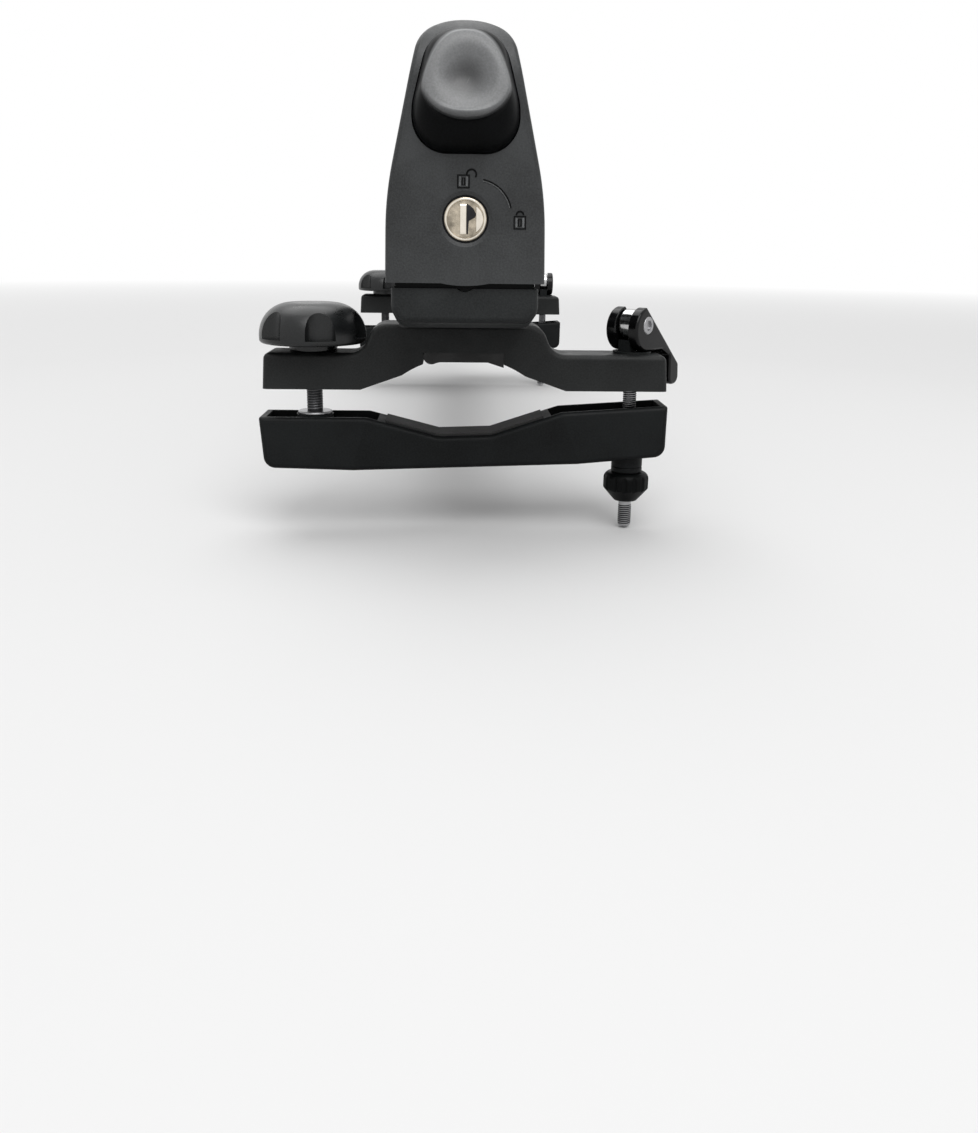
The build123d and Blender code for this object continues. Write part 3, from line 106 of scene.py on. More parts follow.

# Other finishes, the node that doesn't take its slot's, and how much lighter convex edges are, as
# wear and as painted highlight
RUBBER_COLOUR = (0.008, 0.008, 0.008)
COATING_COLOUR = (0.012, 0.012, 0.013)
OTHER_FINISH = {"lock_housing": "black_steel"}
EDGE_WEAR_AND_HIGHLIGHT = 3.0

# The push button's plastics: colours, with painted light on the pad and painted shade on the
# skirt, gloss, roughness and grain, how far behind the pad's plane the pad's painted light and its
# rim's painted highlight fade, how high up the rim the painted highlight reaches, and the dish's
# edge
SHADED_SKIRT_COLOUR = (0.005, 0.0055, 0.006)
LIT_PAD_COLOUR = (0.225, 0.229, 0.233)
PAD_RIM_HIGHLIGHT = 1.8
BUTTON_GLOSS = {"button_plastic": 0.06, "thumb_plastic": 0.5}
BUTTON_ROUGH = (0.27, 0.4)
BUTTON_GRAIN = (0.4, 0.014)
PAD_LIGHT_FADE = (0.8, 2.6)
RIM_HIGHLIGHT_FADE = (0.45, 0.9)
RIM_HIGHLIGHT_HEIGHT = (85, 92)
RIM_HIGHLIGHT_SHARE = 0.8
DISH_FADE = (0.85, 1.0)

# Threads on the brackets' bolts and rods: inner radius, outer radius and pitch, and the heights
# that they cover. The ridge's section is in shares of its height and its pitch
BRACKETS = (("front", -200), ("rear", 200))
BOLT_THREAD = (2.9, 3.08, 1.0)
ROD_THREAD = (2.42, 2.62, 0.8)
BOLT_THREAD_SPAN = (-19.6, 2.9)
UPPER_THREAD_SPAN = (-21.4, -3.0)
LOWER_THREAD_TOP = -56.5
ROD_END_CHAMFER = 0.6
THREAD_RIDGE = ((0, -0.42), (1, -0.07), (1, 0.07), (0, 0.42))

# Push button: the right half of the pad's outline in x and z, the pad's plane given by the depth
# and height of its foot and its lean, and then its crown, its rounded edge and its dish
COVER_FACE_Y = -245.0
BUTTON_BACK_Y = -238.0
BUTTON_CENTRE = Vector((0, 91.0))
PAD_HALF = [
    (0, 80.4), (5.9, 81.4), (10.6, 84.2), (13.4, 88.4), (13.5, 91.8),
    (12.3, 96.0), (10.3, 100.4), (7.6, 104.2), (4.2, 106.6), (0, 107.3),
]
PAD_FOOT = Vector((-257.3, 78.2))
PAD_LEAN = 12.5
PAD_CROWN = (0.0022, 0.0011)
EDGE_TOP = 0.9
EDGE_FOOT = 2.8
DISH_Z = 93.0
DISH_SIZE = Vector((10.6, 11.0))
DISH_DEPTH = 2.3
SKIRT_LAP = 0.4
SKIRT_STEPS = (0.12, 0.3, 0.5, 0.7, 0.88, 1.0)
SKIRT_FLARE = (0.35, 0.65)
RING_POINTS = 120
OUTLINE_POINTS = 480
DEPTH_TOLERANCE = 0.01
EDGE_RINGS = 8
PAD_RINGS = 14
SKIRT_BANDS = 12

# Signs on the cover, as raised strips that narrow to a share of their width at the top. Their
# outlines are darker plastic as painted shadow gaps, and their bars and the path's edge are
# lighter plastic as painted highlight. Each padlock: its name, its body's middle, and its
# shackle's middle,
# radius and sweep. Each path: its name, radius, width and finish
STRIP_TOP = 0.8
SIGN_BASE = COVER_FACE_Y + 0.05
SIGN_FACE = COVER_FACE_Y - 0.2
BAR_FACE = SIGN_FACE + 0.05
PADLOCKS = (
    ("open_padlock", (-0.7, 62.7), (1.9, 64.9), 1.55, (185, -35)),
    ("closed_padlock", (17.8, 50.0), (17.8, 52.4), 1.15, (180, 0)),
)
PADLOCK_SIZE = (3.7, 3.9)
PADLOCK_LINE = 0.62
KEYHOLE_SIZE = (0.8, 2.2)
KEYHOLE_LINE = 0.5
BAR_OUT, BAR_HALF, BAR_LINE = 1.12, 1.5, 0.7
PATH_CENTRE = (3.7, 52.1)
PATH_SWEEP = (80, 13)
# The dark path is painted shadow, its lighter edge painted highlight
PATHS = (("key_path", 11.4, 0.5, "nut_plastic"), ("key_path_highlight", 10.95, 0.3, "lit_sign_plastic"))

# Lock face: outlines in x and in z from the plug's middle. The rim's section is in from the
# plug's outer radius and back from its face, and each plate has a front and a back
LOCK_Z = 50.9
RIM_SECTION = ((1.2, 0.5), (1.2, 0.25), (0.95, 0.02), (0.55, -0.05), (0.2, 0.1), (0.15, 0.5))
RIM_POINTS = 64
# The bright half moon is a painted reflection, and the black wedge is painted shade in the keyway
MOON_X, MOON_RADIUS, MOON_HALF_SWEEP = 0.75, 5.1, 58
WEDGE = (
    (0.4, -4.6), (0.8, -4.6), (1.1, -0.6), (3.2, 0.6),
    (3.5, 1.6), (2.6, 3.4), (1.1, 4.6), (0.4, 4.6),
)
SLAB = ((-1.75, -4.7), (0.3, -4.7), (0.3, 4.7), (-1.75, 4.7))
MOON_DEPTHS = (0.55, 1.1)
WEDGE_DEPTHS = (0.42, 0.9)
SLAB_DEPTHS = (0.15, 0.9)
BEVEL_DEPTH = 0.12
BEVEL_SHRINK = 0.93

# Sill on the end cap, and the hook's return spring
SILL_INSET = 3.2
SILL_THICK = 1.5
SILL_EDGE = 0.5
SILL_FOOT = 28.4
SILL_TOP = 32.5

# Studio, in metres. Each softbox: its name, place, width and how bright it looks
SOFTBOXES = (
    ("front_softbox", (0.25, -1.3, 1.5), 1.4, 4.0),
    ("top_softbox", (-0.3, 0.5, 1.9), 2.0, 2.0),
)
LAMP_TARGET = Vector((0, -0.15, 0.03))
SKY_STRENGTH = (0.03, 0.6)
SKY_HEIGHT = (-0.15, 0.8)
FLOOR_SIZE = 12
FLOOR_FADE = (0.5, 2.2)
FLOOR_DROP = 0.001
FLOOR_SHOWN = (0.8, 0.8, 0.8, 1)
FLOOR_BOUNCE = (0.14, 0.14, 0.14, 1)
FLOOR_ROUGH = 0.9
FLOOR_GLOSS = 0.1


# Camera
def place_camera():
    """The photograph's camera, which stands in front of the end cap and looks down a little."""
    yaw, pitch, roll = (radians(angle) for angle in CAMERA_TURN)
    forward = Vector((sin(yaw) * cos(pitch), cos(yaw) * cos(pitch), sin(pitch)))
    right = forward.cross(Vector((0, 0, 1))).normalized()
    up = right.cross(forward)
    side = right * cos(roll) + up * sin(roll)
    top = up * cos(roll) - right * sin(roll)
    data = bpy.data.cameras.new("photo_camera")
    data.lens = CAMERA_LENS
    data.sensor_width = CAMERA_SENSOR
    data.shift_y = CAMERA_SHIFT
    data.clip_start = CAMERA_NEAR * MM
    data.clip_end = CAMERA_FAR * MM
    camera = bpy.data.objects.new("photo_camera", data)
    bpy.context.scene.collection.objects.link(camera)
    turn = Matrix((side, top, -forward)).transposed().to_4x4()
    camera.matrix_world = Matrix.Translation(Vector(CAMERA_PLACE) * MM) @ turn
    bpy.context.scene.camera = camera


# Shader nodes
def new_node(tree, kind, inputs=None, **settings):
    """A shader node with its settings, and its inputs linked to sockets or set to values."""
    node = tree.nodes.new("ShaderNode" + kind)
    for key, value in settings.items():
        setattr(node, key, value)
    for key, value in (inputs or {}).items():
        if isinstance(value, bpy.types.NodeSocket):
            tree.links.new(value, node.inputs[key])
        else:
            node.inputs[key].default_value = value
    return node


def new_material(name):
    """A material with its node tree, its shader and the object coordinates, in millimetres."""
    material = bpy.data.materials.new(name)
    material.use_nodes = True
    tree = material.node_tree
    place = new_node(tree, "TexCoord").outputs["Object"]
    where = new_node(tree, "VectorMath", {0: place, "Scale": 1 / MM}, operation="SCALE").outputs[0]
    return material, tree, tree.nodes["Principled BSDF"], where


def noise(tree, where, size, detail=3.0, roughness=0.55, stretch=(1, 1, 1)):
    """Noise whose features are about size millimetres across, drawn out along stretch."""
    scale = [1 / (size * s) for s in stretch]
    at = new_node(tree, "Mapping", {"Vector": where, "Scale": scale}).outputs[0]
    inputs = {"Vector": at, "Scale": 1, "Detail": detail, "Roughness": roughness}
    return new_node(tree, "TexNoise", inputs).outputs["Fac"]


def mapped(tree, value, low, high, start=0.3, end=0.7):
    """A number that goes from low to high while value goes from start to end."""
    spans = {"From Min": start, "From Max": end, "To Min": low, "To Max": high}
    return new_node(tree, "MapRange", {"Value": value, **spans}).outputs[0]


def maths(tree, operation, first, second):
    return new_node(tree, "Math", {0: first, 1: second}, operation=operation).outputs[0]


def blended(tree, share, first, second):
    """The first colour where share is 0, the second where it is 1."""
    inputs = {"Factor": share, "A": first, "B": second}
    return new_node(tree, "Mix", inputs, data_type="RGBA").outputs["Result"]


def tinted(tree, value, dark, light, start=0.3, end=0.7):
    """A colour that goes from dark to light while value goes from start to end."""
    node = new_node(tree, "ValToRGB", {"Fac": value})
    for element, position, colour in zip(node.color_ramp.elements, (start, end), (dark, light)):
        element.position = position
        element.color = (*colour, 1)
    return node.outputs["Color"]


def bumped(tree, height, distance, below=None, strength=1.0):
    """A normal for bumps that stand distance high, on top of the bumps of below."""
    inputs = {"Height": height, "Distance": distance * MM, "Strength": strength}
    if below is not None:
        inputs["Normal"] = below
    return new_node(tree, "Bump", inputs).outputs["Normal"]


def wear_and_highlight_edges(tree, colour, light, amount):
    """Lightens the colour along convex edges, as handling wear does and as a painted highlight."""
    # Convex edges lightened: partly handling wear, partly a painted highlight
    pointiness = new_node(tree, "NewGeometry").outputs["Pointiness"]
    share = mapped(tree, pointiness, 0, amount, start=0.52, end=0.62)
    return blended(tree, share, colour, (*light, 1))


def scaled(colour, factor):
    return tuple(min(1.0, c * factor) for c in colour)


# Materials
def plastic_tone(tree, where, colour, wear_and_highlight, swing=0.5):
    """The plastic's colour: soft clouds, fine speckle and lighter edges of wear and painted
    highlight.
    """
    clouds = noise(tree, where, size=12, detail=3)
    speckle = noise(tree, where, size=0.65, detail=2, roughness=0.6)
    both = maths(tree, "ADD", mapped(tree, clouds, 0, 0.5), mapped(tree, speckle, 0, 0.5))
    dark, light = scaled(colour, 1 - swing), scaled(colour, 1 + swing)
    body = tinted(tree, both, dark, light, start=0.1, end=0.9)
    return wear_and_highlight_edges(tree, body, scaled(colour, EDGE_WEAR_AND_HIGHLIGHT), wear_and_highlight)


def moulded_surface(tree, shader, where, rough, grain, depth):
    """Roughness with handling smears, and a pebble grain over faint flow marks."""
    smears = noise(tree, where, size=6, detail=4, roughness=0.6)
    tree.links.new(mapped(tree, smears, *rough), shader.inputs["Roughness"])
    flow = noise(tree, where, size=9, detail=1)
    waves = bumped(tree, flow, distance=0.04, strength=0.5)
    pebble = noise(tree, where, grain, detail=2, roughness=0.5)
    tree.links.new(bumped(tree, pebble, depth, waves), shader.inputs["Normal"])


def moulding(name, colour, rough, wear_and_highlight, gloss, grain, depth):
    """Moulded plastic: clouded and speckled, with a pebble grain, smears and lighter edges of wear
    and painted highlight.
    """
    material, tree, shader, where = new_material(name)
    tree.links.new(plastic_tone(tree, where, colour, wear_and_highlight), shader.inputs["Base Color"])
    moulded_surface(tree, shader, where, rough, grain, depth)
    shader.inputs["Specular IOR Level"].default_value = gloss
    return material


def button_moulding(name, gloss):
    """The button's plastic: black on the skirt as painted shade, pale on the pad as painted light,
    and palest on its upper rim as a painted highlight.
    """
    material, tree, shader, where = new_material(name)
    into = (0, 1, -tan(radians(PAD_LEAN)))
    foot = {0: where, 1: (0, *PAD_FOOT)}
    from_foot = new_node(tree, "VectorMath", foot, operation="SUBTRACT").outputs[0]
    plane = {0: from_foot, 1: into}
    behind = new_node(tree, "VectorMath", plane, operation="DOT_PRODUCT").outputs["Value"]
    height = new_node(tree, "SeparateXYZ", {0: where}).outputs["Z"]
    dish = {
        "Vector": where,
        "Scale": (1 / DISH_SIZE.x, 0, 1 / DISH_SIZE.y),
        "Location": (0, 0, -DISH_Z / DISH_SIZE.y),
    }
    in_dish = new_node(tree, "Mapping", dish).outputs[0]
    reach = new_node(tree, "VectorMath", {0: in_dish}, operation="LENGTH").outputs["Value"]
    # Painted highlight along the pad's rim: only on its upper part, and kept out of the dish
    edge = mapped(tree, behind, 0, RIM_HIGHLIGHT_SHARE, *RIM_HIGHLIGHT_FADE)
    rim = maths(tree, "MULTIPLY", edge, mapped(tree, height, 0, 1, *RIM_HIGHLIGHT_HEIGHT))
    rim_highlight = maths(tree, "MULTIPLY", rim, mapped(tree, reach, 0, 1, *DISH_FADE))
    # One plastic in two tones: the pad painted lit, the skirt painted in shade
    pad = plastic_tone(tree, where, LIT_PAD_COLOUR, wear_and_highlight=0.6, swing=0.2)
    pad = blended(tree, rim_highlight, pad, (*scaled(LIT_PAD_COLOUR, PAD_RIM_HIGHLIGHT), 1))
    skirt = plastic_tone(tree, where, SHADED_SKIRT_COLOUR, wear_and_highlight=0.0)
    colour = blended(tree, mapped(tree, behind, 1, 0, *PAD_LIGHT_FADE), skirt, pad)
    tree.links.new(colour, shader.inputs["Base Color"])
    moulded_surface(tree, shader, where, BUTTON_ROUGH, *BUTTON_GRAIN)
    shader.inputs["Specular IOR Level"].default_value = gloss
    return material


def metal(name, colour, rough, depth, spots):
    """Plated or turned metal with fine marks and dull patches."""
    material, tree, shader, where = new_material(name)
    patches = noise(tree, where, size=4, detail=4, roughness=0.65)
    body = tinted(tree, patches, scaled(colour, 1 - spots), colour)
    tree.links.new(body, shader.inputs["Base Color"])
    shader.inputs["Metallic"].default_value = 1.0
    tree.links.new(mapped(tree, patches, *rough), shader.inputs["Roughness"])
    marks = noise(tree, where, size=0.25, detail=2, roughness=0.5)
    tree.links.new(bumped(tree, marks, depth), shader.inputs["Normal"])
    return material


def rubber(name, colour):
    """Extruded rubber, matt with fine lines along the extrusion and a little bloom."""
    material, tree, shader, where = new_material(name)
    bloom = noise(tree, where, size=11, detail=5, roughness=0.65)
    body = tinted(tree, bloom, colour, scaled(colour, 1.8), start=0.45, end=0.8)
    tree.links.new(body, shader.inputs["Base Color"])
    tree.links.new(mapped(tree, bloom, low=0.62, high=0.82), shader.inputs["Roughness"])
    lines = noise(tree, where, size=0.5, detail=2, roughness=0.5, stretch=(1, 60, 1))
    pores = bumped(tree, noise(tree, where, size=0.3, detail=2), distance=0.015)
    ribbed = bumped(tree, lines, distance=0.03, below=pores)
    tree.links.new(ribbed, shader.inputs["Normal"])
    return material


def coated_extrusion(name, colour):
    """Satin black coating over drawn aluminium: die lines and a fine orange peel."""
    material, tree, shader, where = new_material(name)
    streaks = noise(tree, where, size=1.2, detail=3, roughness=0.6, stretch=(1, 90, 1))
    body = tinted(tree, streaks, scaled(colour, 0.85), scaled(colour, 1.25))
    tree.links.new(body, shader.inputs["Base Color"])
    tree.links.new(mapped(tree, streaks, low=0.3, high=0.42), shader.inputs["Roughness"])
    peel = bumped(tree, noise(tree, where, size=0.6, detail=2), distance=0.01)
    drawn = bumped(tree, streaks, distance=0.012, below=peel)
    tree.links.new(drawn, shader.inputs["Normal"])
    return material


def make_materials():
    """Every finish by its name: the record's slots, and those of pieces made here."""
    materials = {name: moulding(name, *look) for name, look in MOULDINGS.items()}
    materials |= {name: metal(name, *look) for name, look in METALS.items()}
    materials |= {name: button_moulding(name, gloss) for name, gloss in BUTTON_GLOSS.items()}
    materials["black_anodised"] = coated_extrusion("black_anodised", COATING_COLOUR)
    materials["jaw_rubber"] = rubber("jaw_rubber", RUBBER_COLOUR)
    return materials


def dress(materials):
    """Gives each CAD node the finish that the record names for it, or another one."""
    for entry in frame["record"]["subparts"]:
        node = nodes[entry["node"]]
        finish = OTHER_FINISH.get(entry["node"], entry["material_slot"])
        node.data.materials.clear()
        node.data.materials.append(materials[finish])


# Pieces and meshes
def piece(name, mesh, body, slot, materials, finish=None):
    """A new object for a mesh, riding on a body, with its slot's finish or another one."""
    thing = bpy.data.objects.new(name, mesh)
    bpy.context.scene.collection.objects.link(thing)
    mesh.materials.append(materials[finish or slot])
    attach(thing, body)
    return thing


def middle(node):
    low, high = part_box(node)
    return (low + high) / 2


def vertices(bm, points):
    return [bm.verts.new(Vector(point) * MM) for point in points]


def stitch(bm, rows, closed=True):
    """Faces between each row of vertices and the next, where closed rows go all the way round."""
    faces = []
    for a, b in zip(rows, rows[1:]):
        for i in range(len(a) if closed else len(a) - 1):
            j = (i + 1) % len(a)
            faces.append(bm.faces.new((a[i], a[j], b[j], b[i])))
    return faces


def finished(bm, name):
    """The mesh of bm, with its normals outwards."""
    bmesh.ops.recalc_face_normals(bm, faces=bm.faces)
    mesh = bpy.data.meshes.new(name)
    bm.to_mesh(mesh)
    bm.free()
    return mesh


def smoothed(mesh):
    """Shades a mesh smooth, apart from its many-sided caps."""
    for polygon in mesh.polygons:
        polygon.use_smooth = len(polygon.vertices) < 5
    return mesh


def arc(x, z, radius, start, end, steps=16):
    """Points along an arc in the XZ plane."""
    angles = [radians(start + (end - start) * i / steps) for i in range(steps + 1)]
    return [(x + radius * cos(angle), z + radius * sin(angle)) for angle in angles]


def box_outline(x, z, width, height):
    corners = ((-1, -1), (1, -1), (1, 1), (-1, 1))
    return [(x + right * width / 2, z + up * height / 2) for right, up in corners]


# Threads
def thread_mesh(name, x, y, low, high, root, crest, pitch, steps=28):
    """A single-start screw thread from low to high, as a ridge round a vertical rod."""
    count = int((high - low) / pitch * steps)
    points = []
    for i in range(count + 1):
        angle = 2 * pi * i / steps
        taper = min(1.0, i / steps, (count - i) / steps)
        for share, offset in THREAD_RIDGE:
            reach = root + (crest - root) * share * taper
            z = low + pitch * (i / steps) + offset * pitch
            z = min(max(z, low), high)
            points.append((x + reach * cos(angle), y + reach * sin(angle), z))
    width = len(THREAD_RIDGE)
    starts = [i * width + k for i in range(count) for k in range(width - 1)]
    faces = [(a, a + width, a + width + 1, a + 1) for a in starts]
    mesh = bpy.data.meshes.new(name)
    mesh.from_pydata([[v * MM for v in point] for point in points], [], faces)
    mesh.update()
    return mesh


def add_threads(materials):
    """The threads that show on each bracket's bolt, and on its rod above and below."""
    for end, y in BRACKETS:
        bolt_x = middle(f"{end}_bolt_washer").x / MM
        rod_x = middle(f"{end}_quick_rod").x / MM
        rod_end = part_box(f"{end}_quick_rod")[0].z / MM + ROD_END_CHAMFER
        lower_span = (rod_end, LOWER_THREAD_TOP)
        for kind, body, x, span, size, finish in (
            ("bolt_thread", "clamp", bolt_x, BOLT_THREAD_SPAN, BOLT_THREAD, "worn_steel"),
            ("rod_thread_upper", "rod", rod_x, UPPER_THREAD_SPAN, ROD_THREAD, "black_steel"),
            ("rod_thread_lower", "rod", rod_x, lower_span, ROD_THREAD, "black_steel"),
        ):
            name = f"{end}_{kind}"
            ridge = thread_mesh(name, x, y, *span, *size)
            piece(name, ridge, f"{end}_{body}", "black_steel", materials, finish)


# Push button
def smooth_ring(corners, count):
    """Closed smooth curve through points in the XZ plane, as count points."""
    total = len(corners)
    ring = []
    for i in range(count):
        at = i * total / count
        k, t = int(at), at % 1
        a, b, c, d = (Vector(corners[(k + j) % total]) for j in (-1, 0, 1, 2))
        curve = 2 * b + (c - a) * t + (2 * a - 5 * b + 4 * c - d) * t**2
        ring.append(0.5 * (curve + (3 * b - a - 3 * c + d) * t**3))
    return ring


def reach_at(ring, centre, angle):
    """How far a ring lies from its centre in the direction of angle, in radians."""
    way = Vector((cos(angle), sin(angle)))
    for i, b in enumerate(ring):
        a, b = ring[i - 1] - centre, b - centre
        cross_a, cross_b = way.x * a.y - way.y * a.x, way.x * b.y - way.y * b.x
        if cross_a <= 0 < cross_b and a.dot(way) + b.dot(way) > 0:
            return a.lerp(b, cross_a / (cross_a - cross_b)).dot(way)
    raise ValueError("the ring doesn't go round its centre")


def outline_at(node, y):
    """Outline of a CAD node's vertices at one depth, in order round the button's centre."""
    places = [vertex.co / MM for vertex in nodes[node].data.vertices]
    rim = {}
    for point in [place.xz for place in places if abs(place.y - y) < DEPTH_TOLERANCE]:
        out = point - BUTTON_CENTRE
        way = round(degrees(atan2(*out.yx)), 1)
        if way not in rim or out.length > (rim[way] - BUTTON_CENTRE).length:
            rim[way] = point
    return [rim[way] for way in sorted(rim)]


def pad_depth(x, z):
    """Depth of the thumb pad: a plane that leans back, gently crowned, with a soft dish in it."""
    lean = PAD_FOOT.x + (z - PAD_FOOT.y) * tan(radians(PAD_LEAN))
    crown = PAD_CROWN[0] * x * x + PAD_CROWN[1] * (z - BUTTON_CENTRE.y) ** 2
    away = (x / DISH_SIZE.x) ** 2 + ((z - DISH_Z) / DISH_SIZE.y) ** 2
    return lean + crown + DISH_DEPTH * max(0.0, 1 - away) ** 2


def from_centre(angle, reach):
    return BUTTON_CENTRE.x + cos(angle) * reach, BUTTON_CENTRE.y + sin(angle) * reach


def add_button(materials):
    """The push button as one moulding: a skirt out of the cover, a round edge and a thumb pad."""
    angles = [2 * pi * i / RING_POINTS for i in range(RING_POINTS)]
    root = outline_at("push_button", COVER_FACE_Y)
    left_half = [(-x, z) for x, z in PAD_HALF[-2:0:-1]]
    outline = smooth_ring(PAD_HALF + left_half, OUTLINE_POINTS)
    roots = [reach_at(root, BUTTON_CENTRE, angle) for angle in angles]
    rims = [reach_at(outline, BUTTON_CENTRE, angle) for angle in angles]
    edges = [EDGE_TOP + (EDGE_FOOT - EDGE_TOP) * max(0.0, -sin(angle)) for angle in angles]
    fronts = [pad_depth(*from_centre(angle, rim)) for angle, rim in zip(angles, rims)]
    bm = bmesh.new()
    rings = []

    def ring(reaches, depths=None):
        """One more ring of vertices, on the pad's surface where no depths are given."""
        spots = [from_centre(angle, reach) for angle, reach in zip(angles, reaches)]
        depths = depths or [pad_depth(x, z) for x, z in spots]
        rings.append(vertices(bm, [(x, y, z) for (x, z), y in zip(spots, depths)]))

    for y in (BUTTON_BACK_Y, COVER_FACE_Y + SKIRT_LAP, COVER_FACE_Y):
        ring(roots, [y] * RING_POINTS)
    for step in SKIRT_STEPS:
        flare = SKIRT_FLARE[0] * step + SKIRT_FLARE[1] * step**2
        ring(
            [low + (high - low) * flare for low, high in zip(roots, rims)],
            [
                COVER_FACE_Y + (front + edge - COVER_FACE_Y) * step
                for front, edge in zip(fronts, edges)
            ],
        )
    for step in range(1, EDGE_RINGS + 1):
        turn = radians(90 * step / EDGE_RINGS)
        ring(
            [rim - edge * (1 - cos(turn)) for rim, edge in zip(rims, edges)],
            [front + edge * (1 - sin(turn)) for front, edge in zip(fronts, edges)],
        )
    for step in range(1, PAD_RINGS + 1):
        share = 1 - step / (PAD_RINGS + 1)
        ring([(rim - edge) * share for rim, edge in zip(rims, edges)])
    for number, face in enumerate(stitch(bm, rings)):
        face.material_index = int(number >= SKIRT_BANDS * RING_POINTS)
    x, z = BUTTON_CENTRE
    tip = vertices(bm, [(x, pad_depth(x, z), z)])[0]
    for a, b in zip(rings[-1], rings[-1][1:] + rings[-1][:1]):
        bm.faces.new((a, b, tip)).material_index = 1
    bm.faces.new(rings[0][::-1])
    mesh = smoothed(finished(bm, "thumb_button"))
    thing = piece("thumb_button", mesh, "button", "button_plastic", materials)
    thing.data.materials.append(materials["thumb_plastic"])
    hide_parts("push_button")


# Signs beside the lock
def flat_strip(bm, points, width, low, high, closed=False):
    """A raised line along points in the XZ plane, from depth low to depth high."""
    count = len(points)
    rails = []
    for i, (x, z) in enumerate(points):
        before = points[i - 1] if i > 0 or closed else points[i]
        after = points[(i + 1) % count] if i < count - 1 or closed else points[i]
        run = Vector((after[0] - before[0], after[1] - before[1])).normalized()
        side = Vector((-run.y, run.x)) * width / 2
        section = ((low, 1), (high, STRIP_TOP), (high, -STRIP_TOP), (low, -1))
        rails.append(vertices(bm, [(x + s * side.x, y, z + s * side.y) for y, s in section]))
    stitch(bm, rails + rails[:1] if closed else rails, closed=False)
    if not closed:
        bm.faces.new(rails[0])
        bm.faces.new(rails[-1][::-1])


def relief(name, lines, face, finish, materials):
    """Raised lines on the cover, each given as its points, its width and whether it closes."""
    bm = bmesh.new()
    for points, width, closed in lines:
        flat_strip(bm, points, width, SIGN_BASE, face, closed)
    piece(name, finished(bm, name), "upper_jaw", "housing_plastic", materials, finish)


def add_signs(materials):
    """An open padlock over the lock, a closed one beside it and the key's path between them,
    outlined in painted shadow, with bars and an edge of painted highlight.
    """
    for name, (x, z), shackle, radius, sweep in PADLOCKS:
        lines = [
            (box_outline(x, z, *PADLOCK_SIZE), PADLOCK_LINE, True),
            (box_outline(x, z, *KEYHOLE_SIZE), KEYHOLE_LINE, True),
            (arc(*shackle, radius, *sweep), PADLOCK_LINE, False),
        ]
        # Darker plastic for the outlines: painted shadow gaps
        relief(name, lines, SIGN_FACE, "nut_plastic", materials)
        places = (x - BAR_OUT, x + BAR_OUT)
        bars = [([(at, z - BAR_HALF), (at, z + BAR_HALF)], BAR_LINE, False) for at in places]
        # Lighter plastic for the bars: painted highlight
        relief(name + "_body", bars, BAR_FACE, "lit_sign_plastic", materials)
    for name, radius, width, finish in PATHS:
        path = arc(*PATH_CENTRE, radius, *PATH_SWEEP, steps=20)
        relief(name, [(path, width, False)], SIGN_FACE, finish, materials)


# Lock face
def rim_ring(radius, face):
    """The plug's raised rim: its section turned about the lock's axis."""
    turns = [2 * pi * i / RIM_POINTS for i in range(RIM_POINTS)]
    bm = bmesh.new()
    rings = []
    for inset, depth in RIM_SECTION:
        reach = radius - inset
        spots = [(reach * cos(a), face + depth, LOCK_Z + reach * sin(a)) for a in turns]
        rings.append(vertices(bm, spots))
    stitch(bm, rings + rings[:1])
    return bm


def plate(outline, front, back):
    """A flat plate with a bevelled front edge, from an outline in the XZ plane."""
    bm = bmesh.new()
    mid_x, mid_z = sum((Vector(p) for p in outline), Vector((0, 0))) / len(outline)
    rings = []
    for y, shrink in ((back, 1.0), (front + BEVEL_DEPTH, 1.0), (front, BEVEL_SHRINK)):
        rings.append(vertices(bm, [
            (mid_x + (x - mid_x) * shrink, y, mid_z + (z - mid_z) * shrink) for x, z in outline
        ]))
    stitch(bm, rings)
    bm.faces.new(rings[-1])
    bm.faces.new(rings[0][::-1])
    return bm


def add_lock_face(materials):
    """The plug's bright rim and, inside it, a bright half moon as painted reflection, a black
    wedge as the keyway's painted shade, and the shutter's slab.
    """
    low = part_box("lock_plug")[0]
    face = low.y / MM
    radius = (middle("lock_plug").x - low.x) / MM
    rim = smoothed(finished(rim_ring(radius, face), "plug_rim"))
    piece("plug_rim", rim, "plug", "lock_nickel", materials, "polished_nickel")
    curve = arc(0, LOCK_Z, MOON_RADIUS, -MOON_HALF_SWEEP, MOON_HALF_SWEEP, steps=20)
    moon = [(x + MOON_X, z) for x, z in curve]
    wedge = [(x, LOCK_Z + z) for x, z in WEDGE]
    slab = [(x, LOCK_Z + z) for x, z in SLAB]
    # Plates: a painted reflection, the keyway's painted shade, and the shutter's slab
    for name, outline, depths, slot, finish in (
        ("reflection_half", moon, MOON_DEPTHS, "lock_nickel", "polished_nickel"),
        ("keyway_shade", wedge, WEDGE_DEPTHS, "black_steel", "black_steel"),
        ("shutter_slab", slab, SLAB_DEPTHS, "lock_nickel", "polished_nickel"),
    ):
        bm = plate(outline, *(face + depth for depth in depths))
        piece(name, finished(bm, name), "plug", slot, materials, finish)


# End cap and hook
def add_sill(materials):
    """A low rib on the end cap's deck that closes the gap under the cover's lower edge, in darker
    plastic as painted shade in the gap.
    """
    low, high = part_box("latch_cover")
    half = high.x / MM - SILL_INSET
    front = low.y / MM + SILL_INSET
    back = front + SILL_THICK
    section = [
        (front, SILL_FOOT), (front, SILL_TOP - SILL_EDGE), (front + SILL_EDGE, SILL_TOP),
        (back, SILL_TOP), (back, SILL_FOOT),
    ]
    bm = bmesh.new()
    ends = [vertices(bm, [(x, y, z) for y, z in section]) for x in (-half, half)]
    stitch(bm, ends)
    bm.faces.new(ends[0])
    bm.faces.new(ends[1][::-1])
    sill = finished(bm, "deck_sill")
    # Darker plastic than the cap's own: painted shade along the gap
    piece("deck_sill", sill, "carrier", "base_plastic", materials, "nut_plastic")


